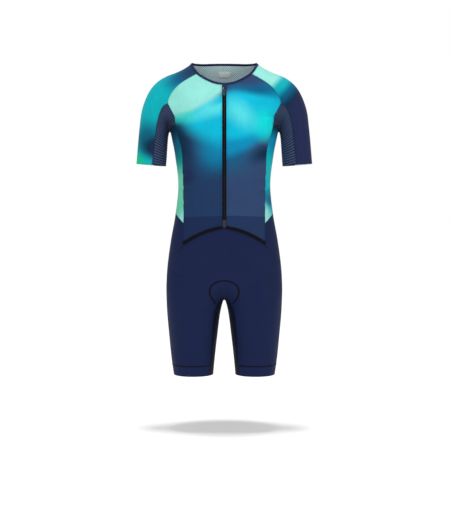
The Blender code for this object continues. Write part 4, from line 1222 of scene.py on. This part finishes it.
def tiled(name, template, places, material):
    """Copies of one small shape, each at its own place, joined in one mesh."""
    points = points_of(template)
    count = len(points)
    faces = [tuple(face.vertices) for face in template.data.polygons]
    homes = np.array([np.array(place) for place in places])
    spots = np.einsum("nij,kj->nki", homes[:, :3, :3], points) + homes[:, None, :3, 3]
    every = [tuple(i + count * copy for i in face) for copy in range(len(places)) for face in faces]
    data = bpy.data.meshes.new(name)
    data.from_pydata(spots.reshape(-1, 3).tolist(), [], every)
    obj = bpy.data.objects.new(name, data)
    bpy.context.scene.collection.objects.link(obj)
    obj.data.shade_smooth()
    obj.data.materials.append(bpy.data.materials[material])
    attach(obj, "suit")
    return obj


def stitch_template():
    """One stitch: a short rounded thread that lies along X."""
    bpy.ops.object.select_all(action="DESELECT")
    bpy.ops.mesh.primitive_uv_sphere_add(
        segments=5, ring_count=4, radius=1.0, rotation=(0, math.pi / 2, 0)
    )
    bpy.ops.object.transform_apply(location=False, rotation=True, scale=False)
    obj = bpy.context.object
    obj.data.transform(Matrix.Diagonal((STITCH_LONG / 2, STITCH_WIDE / 2, STITCH_TALL / 2, 1.0)))
    return obj


def along_line(points, normals, pitch):
    """Places at equal steps along a line: X runs along it and Z out of the cloth."""
    run = lengths(points)
    count = int(run[-1] / pitch)
    if count < 1:
        return []
    at = (np.arange(count) + 0.5) * run[-1] / count
    spots = np.column_stack([np.interp(at, run, axis) for axis in points.T])
    ahead = np.column_stack([np.interp(at + pitch / 3, run, axis) for axis in points.T])
    behind = np.column_stack([np.interp(at - pitch / 3, run, axis) for axis in points.T])
    out = np.column_stack([np.interp(at, run, axis) for axis in normals.T])
    x = ahead - behind
    x /= np.linalg.norm(x, axis=1)[:, None]
    out -= (out * x).sum(1)[:, None] * x
    out /= np.linalg.norm(out, axis=1)[:, None]
    y = np.cross(out, x)
    found = []
    for spot, a, b, c in zip(spots, x, y, out):
        place = np.eye(4)
        place[:3] = np.column_stack([a, b, c, spot])
        found.append(place)
    return found


class SUIT_OT_seams(bpy.types.Operator):
    """Sew a row of stitches beside each seam, hem and zip."""

    bl_idname = "suit.seams"
    bl_label = "Seams"

    def execute(self, context):
        template = stitch_template()
        for node, lines in SEAM_SHEETS.items():
            binding = node.startswith(("zip_tape", "hem_tape", "neckband"))
            places = []
            for points, inwards, normals in lines:
                if lengths(points)[-1] < SHORTEST_SEAM:
                    continue
                insets = [BINDING_INSET if binding else TOPSTITCH_INSET]
                if node.startswith("front") and np.abs(points[:, 0]).max() < ZIP_EDGE_REACH:
                    insets.append(ZIP_ROW_INSET)
                for inset in insets:
                    inner = points + inwards * inset
                    places += along_line(inner, normals, sizes().stitch_pitch)
            if places:
                tiled(node + "_stitches", template, places, "Seam thread")
        bpy.data.objects.remove(template)
        return {"FINISHED"}


def front_points(across, heights):
    """Points on the front of the form, at distances from the middle and heights."""
    across, heights = np.broadcast_arrays(np.asarray(across, float), np.asarray(heights, float))
    low, high = np.full(across.shape, -0.17), np.zeros(across.shape)
    for _ in range(30):
        middle = (low + high) / 2
        outside = form(np.column_stack([across, middle, heights])) > 0
        low, high = np.where(outside, middle, low), np.where(outside, high, middle)
    return np.column_stack([across, middle, heights])


def grid_mesh(name, grid):
    """A sheet of quads through a grid of points."""
    rows, columns = grid.shape[:2]
    faces = []
    for row in range(rows - 1):
        for column in range(columns - 1):
            a, b = row * columns + column, (row + 1) * columns + column
            faces.append((a, b, b + 1, a + 1))
    data = bpy.data.meshes.new(name)
    data.from_pydata(grid.reshape(-1, 3).tolist(), [], faces)
    obj = bpy.data.objects.new(name, data)
    bpy.context.scene.collection.objects.link(obj)
    return obj


def face_out(obj):
    """Turns an open sheet's faces away from the suit's inside."""
    mesh = bmesh.new()
    mesh.from_mesh(obj.data)
    mesh.normal_update()
    away = outward([face.calc_center_median() for face in mesh.faces])
    wrong = [face for face, out in zip(mesh.faces, away) if face.normal.dot(out) < 0]
    bmesh.ops.reverse_faces(mesh, faces=wrong)
    mesh.to_mesh(obj.data)
    mesh.free()


def ribbon(name, line, half_width, crown, material):
    """A crowned strip that lies along a line on the cloth."""
    out = outward(line)
    side = np.cross(out, np.gradient(line, axis=0))
    side /= np.linalg.norm(side, axis=1)[:, None]
    columns = []
    for share, height in RIBBON_PROFILE:
        spot = land(line + side * share * half_width)
        columns.append(spot + outward(spot) * (crown * height - creased(spot))[:, None])
    obj = grid_mesh(name, np.stack(columns, axis=1))
    face_out(obj)
    obj.data.materials.append(bpy.data.materials[material])
    apply_modifier(obj, "SOLIDIFY", thickness=RIBBON_THICK, offset=-1.0)
    apply_modifier(obj, "SUBSURF", levels=1, render_levels=1)
    obj.data.shade_smooth()
    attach(obj, "suit")
    return obj


def pad_outline(rows):
    """The line round one end of the pad, from the middle out, down and back on the other side."""
    half = np.array([(row.half_width, row.y, row.z) for row in rows])
    other = half[::-1] * (-1.0, 1.0, 1.0)
    rows = np.concatenate([other, half])
    shares = np.linspace(0, len(rows) - 1, PAD_LINE_STEPS)
    fine = between(np.arange(len(rows), dtype=float), rows, shares)
    return resampled(land(fine), PAD_LINE_STEPS)


class SUIT_OT_lines(bpy.types.Operator):
    """Lay the corded lines: round the pad's outline and along the top of each leg band."""

    bl_idname = "suit.lines"
    bl_label = "Corded Lines"

    def execute(self, context):
        for name, rows in (("pad_line_front", PAD_LINE), ("pad_line_back", BACK_PAD_LINE)):
            ribbon(name, pad_outline(rows), LINE_WIDTH / 2, LINE_CROWN, "Corded line")
        for side in SIDES:
            edges = [line for line, _, _ in SEAM_SHEETS["leg_band_" + side]]
            tops = [line for line in edges if line[:, 2].mean() > BAND_LINE_HEIGHT]
            for index, line in enumerate(tops):
                if lengths(line)[-1] < SHORTEST_LEG_LINE:
                    continue
                fine = land(resampled(line, LEG_LINE_STEPS))
                name = f"leg_line_{side}_{index}"
                ribbon(name, fine, LEG_LINE_WIDTH / 2, LEG_LINE_CROWN, "Corded line")
        return {"FINISHED"}


def slider_frame():
    """The slider's own axes: X across, Y down along the cloth and Z out of it."""
    at = land(np.array([(0.0, -0.1, SLIDER_HEIGHT)]))[0]
    out = outward(at[None])[0]
    across = np.array((-1.0, 0.0, 0.0))
    place = np.eye(4)
    place[:3] = np.column_stack([across, np.cross(out, across), out, at])
    return Matrix(place.tolist())


def rounded_box(size, centre, bevel, segments=3, taper=None):
    """A cube shaped to size, narrowed towards its lower end, with its edges rounded."""
    bpy.ops.mesh.primitive_cube_add(size=1.0)
    obj = bpy.context.object
    for vert in obj.data.vertices:
        if taper and vert.co.y > 0:
            vert.co.x *= taper
        vert.co = Vector(a * b for a, b in zip(vert.co, size)) + Vector(centre)
    apply_modifier(obj, "BEVEL", width=bevel, segments=segments, limit_method="ANGLE")
    return obj


def joined_parts(parts, place):
    """Several parts as one active object, moved to its place."""
    bpy.ops.object.select_all(action="DESELECT")
    for part in parts:
        part.select_set(True)
    bpy.context.view_layer.objects.active = parts[0]
    bpy.ops.object.join()
    obj = bpy.context.object
    obj.data.transform(place)
    obj.data.shade_smooth()
    alone(obj)
    bpy.ops.object.shade_smooth_by_angle(angle=math.radians(35))
    return obj


def cut_by(obj, cutter):
    """Cuts one part out of another and removes the cutter."""
    alone(obj)
    modifier = obj.modifiers.new("cut", "BOOLEAN")
    modifier.operation, modifier.solver, modifier.object = "DIFFERENCE", "EXACT", cutter
    bpy.ops.object.modifier_apply(modifier=modifier.name)
    bpy.data.objects.remove(cutter)


def make_slider():
    """The slider: a tapered plate, its core and rails, and the bail over it."""
    plate = rounded_box((0.0080, 0.0105, 0.0011), (0, 0, 0.00265), 0.0005, taper=0.72)
    core = rounded_box((0.0030, 0.0060, 0.0022), (0, -0.0020, 0.0013), 0.0003)
    rails = []
    for side in (-1, 1):
        rails.append(rounded_box((0.0009, 0.0062, 0.0018), (side * 0.0031, 0.0012, 0.0017), 0.0003))
    bpy.ops.mesh.primitive_torus_add(
        major_radius=0.0027,
        minor_radius=0.00055,
        major_segments=28,
        minor_segments=10,
        rotation=(0, math.pi / 2, 0),
    )
    bpy.ops.object.transform_apply(location=False, rotation=True, scale=False)
    bail = bpy.context.object
    bail.data.transform(Matrix.Translation((0, 0, 0.00295)) @ Matrix.Diagonal((1.5, 1.0, 0.80, 1.0)))
    joined_parts([plate, core, *rails, bail], slider_frame())


def make_pull():
    """The pull tab, with its hole, raised panel and grip bars."""
    tab = rounded_box((0.0090, 0.0206, 0.0012), (0, 0.0097, 0), 0.0004)
    for vert in tab.data.vertices:
        if vert.co.y > 0.014:
            vert.co.x *= 0.86
    hole = rounded_box((0.0034, 0.0046, 0.004), (0, 0.0029, 0), 0.0008)
    cut_by(tab, hole)
    panel = rounded_box((0.0050, 0.0090, 0.0015), (0, 0.0130, 0), 0.0004)
    grips = []
    for step in range(4):
        grips.append(rounded_box((0.0040, 0.0006, 0.0017), (0, 0.0105 + 0.0016 * step, 0), 0.0002, 2))
    joined_parts([tab, panel, *grips], slider_frame() @ Matrix.Translation((0, 0, PULL_LIFT)))


class SUIT_OT_zip(bpy.types.Operator):
    """Build the coil zip: its teeth, slider, pull, end box, and the flap that covers its top."""

    bl_idname = "suit.zip"
    bl_label = "Zip"

    def execute(self, context):
        make_teeth()
        slider = small_part("zip_slider_formed", make_slider, "Zip plastic")
        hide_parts("zip_slider")
        pull = small_part("zip_pull_formed", make_pull, "Zip plastic", "pull")
        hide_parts("zip_pull")
        flap("zip_end_cover", BOX_HEIGHTS, BOX_HALF, BOX_LIFT, "Zip plastic", "zip_box")
        garage = flap(
            "zip_garage_cover",
            GARAGE_HEIGHTS,
            GARAGE_HALF,
            GARAGE_LIFT,
            "Neckband lycra",
            "zip_garage",
        )
        small_part("garage_dot", make_dot, "Pale dot")
        return {"FINISHED"}


def make_dot():
    """The pale dot on the flap over the zip's top."""
    spot = front_points([DOT_AT[0]], [DOT_AT[1]])
    out = outward(spot)[0]
    centre = spot[0] + out * DOT_LIFT
    bpy.ops.mesh.primitive_uv_sphere_add(segments=20, ring_count=10, radius=1.0)
    obj = bpy.context.object
    turn = Vector((0, 0, 1)).rotation_difference(Vector(out)).to_matrix().to_4x4()
    shape = Matrix.Diagonal((DOT_RADIUS, DOT_RADIUS, DOT_THICK, 1.0))
    obj.data.transform(Matrix.Translation(centre) @ turn @ shape)
    obj.data.shade_smooth()


def flap(name, heights, half, lift, material, node):
    """A small rounded cover over the zip."""
    rows = np.linspace(heights[0], heights[1], 13)
    shares = np.linspace(-1, 1, 9)
    grid = []
    for index, z in enumerate(rows):
        end = min(index, len(rows) - 1 - index) / 2
        pinch = 1 - 0.16 * max(0, 1 - end) ** 2
        spots = front_points(shares * half * pinch, np.full(len(shares), z))
        round_off = np.minimum(1, (1 - np.abs(shares)) * 4)
        height = lift - FLAP_EDGE_DROP * ((1 - round_off) ** 2 + max(0, 1 - end) ** 2)
        grid.append(spots + outward(spots) * height[:, None])
    obj = grid_mesh(name, np.array(grid))
    face_out(obj)
    obj.data.materials.append(bpy.data.materials[material])
    apply_modifier(obj, "SOLIDIFY", thickness=FLAP_THICK, offset=-1.0)
    apply_modifier(obj, "BEVEL", width=FLAP_ROUNDING, segments=2, limit_method="ANGLE")
    obj.data.shade_smooth()
    bpy.ops.object.shade_smooth_by_angle(angle=math.radians(45))
    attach(obj, "suit")
    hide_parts(node)
    return obj


def make_teeth():
    """Two rows of coil turns, and the tape they are sewn on."""
    heights = np.arange(SLIDER_HEIGHT - CHAIN_TOP_GAP, CHAIN_END, -sizes().tooth_pitch / 2)
    bpy.ops.object.select_all(action="DESELECT")
    bpy.ops.mesh.primitive_uv_sphere_add(segments=8, ring_count=6, radius=1.0)
    tooth = bpy.context.object
    tooth.data.transform(Matrix.Diagonal((TOOTH_LONG / 2, TOOTH_WIDE / 2, TOOTH_TALL / 2, 1.0)))
    spots = front_points(np.zeros(len(heights)), heights)
    out = outward(spots)
    places = []
    for index, (spot, away) in enumerate(zip(spots, out)):
        side = 1 if index % 2 else -1
        down = np.cross(away, (-1.0, 0.0, 0.0))
        place = np.eye(4)
        place[:3] = np.column_stack([(-1.0, 0.0, 0.0), down, away, spot + away * TOOTH_LIFT])
        lean = Matrix.Rotation(math.radians(side * TOOTH_LEAN), 4, "Z")
        places.append(Matrix(place.tolist()) @ Matrix.Translation((side * TOOTH_ASIDE, 0, 0)) @ lean)
    chain = tiled("zip_teeth", tooth, places, "Zip plastic")
    bpy.data.objects.remove(tooth)
    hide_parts("zip_chain")
    rows = np.linspace(BACKING_TOP, CHAIN_END - BACKING_BELOW_CHAIN, BACKING_STEPS)
    grid = [front_points([-BACKING_HALF, 0.0, BACKING_HALF], [z] * 3) for z in rows]
    back = grid_mesh("zip_backing", np.array([row - outward(row) * BACKING_SUNK for row in grid]))
    face_out(back)
    back.data.materials.append(bpy.data.materials["Black tape"])
    apply_modifier(back, "SOLIDIFY", thickness=BACKING_THICK, offset=-1.0)
    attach(back, "suit")


class SUIT_OT_pad(bpy.types.Operator):
    """Shape the padded seat inside the shorts, with its pressed channels."""

    bl_idname = "suit.pad"
    bl_label = "Padded Seat"

    def execute(self, context):
        mesh = bmesh.new()
        mesh.from_mesh(NODES["pad"].data)
        bmesh.ops.remove_doubles(mesh, verts=mesh.verts, dist=WELD)
        obj = new_object("pad_padded", mesh)
        obj.data.materials.append(bpy.data.materials["Pad foam"])
        apply_modifier(obj, "REMESH", mode="VOXEL", voxel_size=PAD_VOXEL)
        apply_modifier(obj, "SMOOTH", factor=0.5, iterations=6)
        points = points_of(obj)
        flat = np.empty(len(obj.data.vertices) * 3)
        obj.data.vertices.foreach_get("normal", flat)
        normals = flat.reshape(-1, 3)
        inner = np.clip(-(normals * outward(points)).sum(1), 0, 1)
        channel = np.exp(-((np.abs(points[:, 0]) - PAD_CHANNEL_AT) / PAD_CHANNEL_WIDE) ** 2)
        channel += np.exp(-((points[:, 0]) / PAD_CHANNEL_WIDE) ** 2)
        rise = inner * (PAD_SWELL - PAD_CHANNEL_DEPTH * channel)
        place_points(obj, points + normals * rise[:, None])
        obj.data.shade_smooth()
        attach(obj, "suit")
        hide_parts("pad")
        return {"FINISHED"}


class SUIT_OT_label(bpy.types.Operator):
    """Sew the bare neck label inside the back."""

    bl_idname = "suit.label"
    bl_label = "Neck Label"

    def execute(self, context):
        mesh = bmesh.new()
        mesh.from_mesh(NODES["neck_label"].data)
        bmesh.ops.remove_doubles(mesh, verts=mesh.verts, dist=WELD)
        obj = new_object("neck_label_sewn", mesh)
        obj.data.materials.append(bpy.data.materials["Label satin"])
        apply_modifier(obj, "BEVEL", width=0.0003, segments=2, limit_method="ANGLE")
        obj.data.shade_smooth()
        bpy.ops.object.shade_smooth_by_angle(angle=math.radians(40))
        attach(obj, "suit")
        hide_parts("neck_label")
        return {"FINISHED"}


def soft_light(name, location, target, power, size):
    """A round studio light turned to its target."""
    data = bpy.data.lights.new(name, "AREA")
    data.shape, data.size, data.energy = "DISK", size, power
    obj = bpy.data.objects.new(name, data)
    obj.location = location
    obj.rotation_euler = (Vector(target) - Vector(location)).to_track_quat("-Z", "Y").to_euler()
    bpy.context.scene.collection.objects.link(obj)


class SUIT_OT_stage(bpy.types.Operator):
    """Lay the pale floor, light the studio and place the camera."""

    bl_idname = "suit.stage"
    bl_label = "Stage"

    def execute(self, context):
        scene = context.scene
        bpy.ops.object.select_all(action="DESELECT")
        bpy.ops.mesh.primitive_plane_add(size=FLOOR_SIZE, location=(0, 0, 0))
        floor = context.object
        floor.name = "floor"
        floor.data.transform(Matrix.Translation((0, 0, FLOOR_HEIGHT)))
        material, tree, shader, where = new_material("Studio floor", 0.9, Specular_IOR_Level=0.1)
        grain = tree.nodes.new("ShaderNodeTexNoise")
        grain.inputs["Scale"].default_value = 3.0
        feed(tree, where, grain.inputs["Vector"])
        cloudy = ranged(tree, grain.outputs[0], 0.3, 0.7, 0, 1)
        tree.links.new(mixed(tree, cloudy, *FLOOR_SHADES), shader.inputs["Base Color"])
        floor.data.materials.append(material)
        scene.world = bpy.data.worlds.new("studio")
        scene.world.use_nodes = True
        tree = scene.world.node_tree
        back = tree.nodes["Background"]
        rays = tree.nodes.new("ShaderNodeLightPath")
        back.inputs["Color"].default_value = (1.0, 1.0, 1.0, 1.0)
        strength = ranged(tree, rays.outputs["Is Camera Ray"], 0, 1, WORLD_LIGHT, 1.0)
        tree.links.new(strength, back.inputs["Strength"])
        sun = bpy.data.objects.new("overhead", bpy.data.lights.new("overhead", "SUN"))
        sun.data.energy, sun.data.angle = SUN_LIGHT, math.radians(SUN_ANGLE)
        scene.collection.objects.link(sun)
        bpy.ops.mesh.primitive_circle_add(vertices=32, radius=1.0, fill_type="NGON")
        flag = context.object
        flag.name = "light_flag"
        flag.data.transform(Matrix.Diagonal((*FLAG_SIZE, 1, 1)))
        flag.data.transform(Matrix.Translation((0, 0, FLAG_HEIGHT)))
        flag.data.materials.append(material)
        flag.visible_camera = False
        for row in LIGHTS:
            soft_light(*row)
        scene.view_settings.view_transform = "Standard"
        data = bpy.data.cameras.new("photo_camera")
        data.sensor_fit, data.sensor_width, data.lens = "AUTO", SENSOR_MM, LENS_MM
        data.clip_end = 100.0
        camera = bpy.data.objects.new("photo_camera", data)
        camera.location = CAMERA_AT
        camera.rotation_euler = (math.radians(90 - CAMERA_TILT), 0, 0)
        scene.collection.objects.link(camera)
        scene.camera = camera
        return {"FINISHED"}


class SUIT_PT_panel(bpy.types.Panel):
    """Lists the suit's pieces and its sizes and colours."""

    bl_idname = "SUIT_PT_panel"
    bl_label = "Suit"
    bl_space_type = "VIEW_3D"
    bl_region_type = "UI"
    bl_category = "Suit"

    def draw(self, context):
        for operator in OPERATORS:
            self.layout.operator(operator.bl_idname)
        for group in (context.scene.suit_sizes, context.scene.suit_colours):
            box = self.layout.box()
            for name in group.__annotations__:
                box.prop(group, name)


OPERATORS = [
    SUIT_OT_materials,
    SUIT_OT_fronts,
    SUIT_OT_back,
    SUIT_OT_side_panels,
    SUIT_OT_sleeves,
    SUIT_OT_shorts,
    SUIT_OT_bindings,
    SUIT_OT_seams,
    SUIT_OT_lines,
    SUIT_OT_zip,
    SUIT_OT_pad,
    SUIT_OT_label,
    SUIT_OT_stage,
]
CLASSES = [SuitColours, SuitSizes, *OPERATORS, SUIT_PT_panel]


def register():
    """Makes the suit's classes and settings known to Blender."""
    for item in CLASSES:
        bpy.utils.register_class(item)
    bpy.types.Scene.suit_colours = PointerProperty(type=SuitColours)
    bpy.types.Scene.suit_sizes = PointerProperty(type=SuitSizes)


def unregister():
    """Takes them away again."""
    del bpy.types.Scene.suit_sizes
    del bpy.types.Scene.suit_colours
    for item in reversed(CLASSES):
        bpy.utils.unregister_class(item)


def main():
    """Builds the suit in order."""
    register()
    bpy.ops.object.select_all(action="DESELECT")
    bpy.ops.suit.materials()
    bpy.ops.suit.fronts()
    bpy.ops.suit.back()
    bpy.ops.suit.side_panels()
    bpy.ops.suit.sleeves()
    bpy.ops.suit.shorts()
    bpy.ops.suit.bindings()
    bpy.ops.suit.seams()
    bpy.ops.suit.lines()
    bpy.ops.suit.zip()
    bpy.ops.suit.pad()
    bpy.ops.suit.label()
    bpy.ops.suit.stage()


if __name__ == "__main__":
    main()
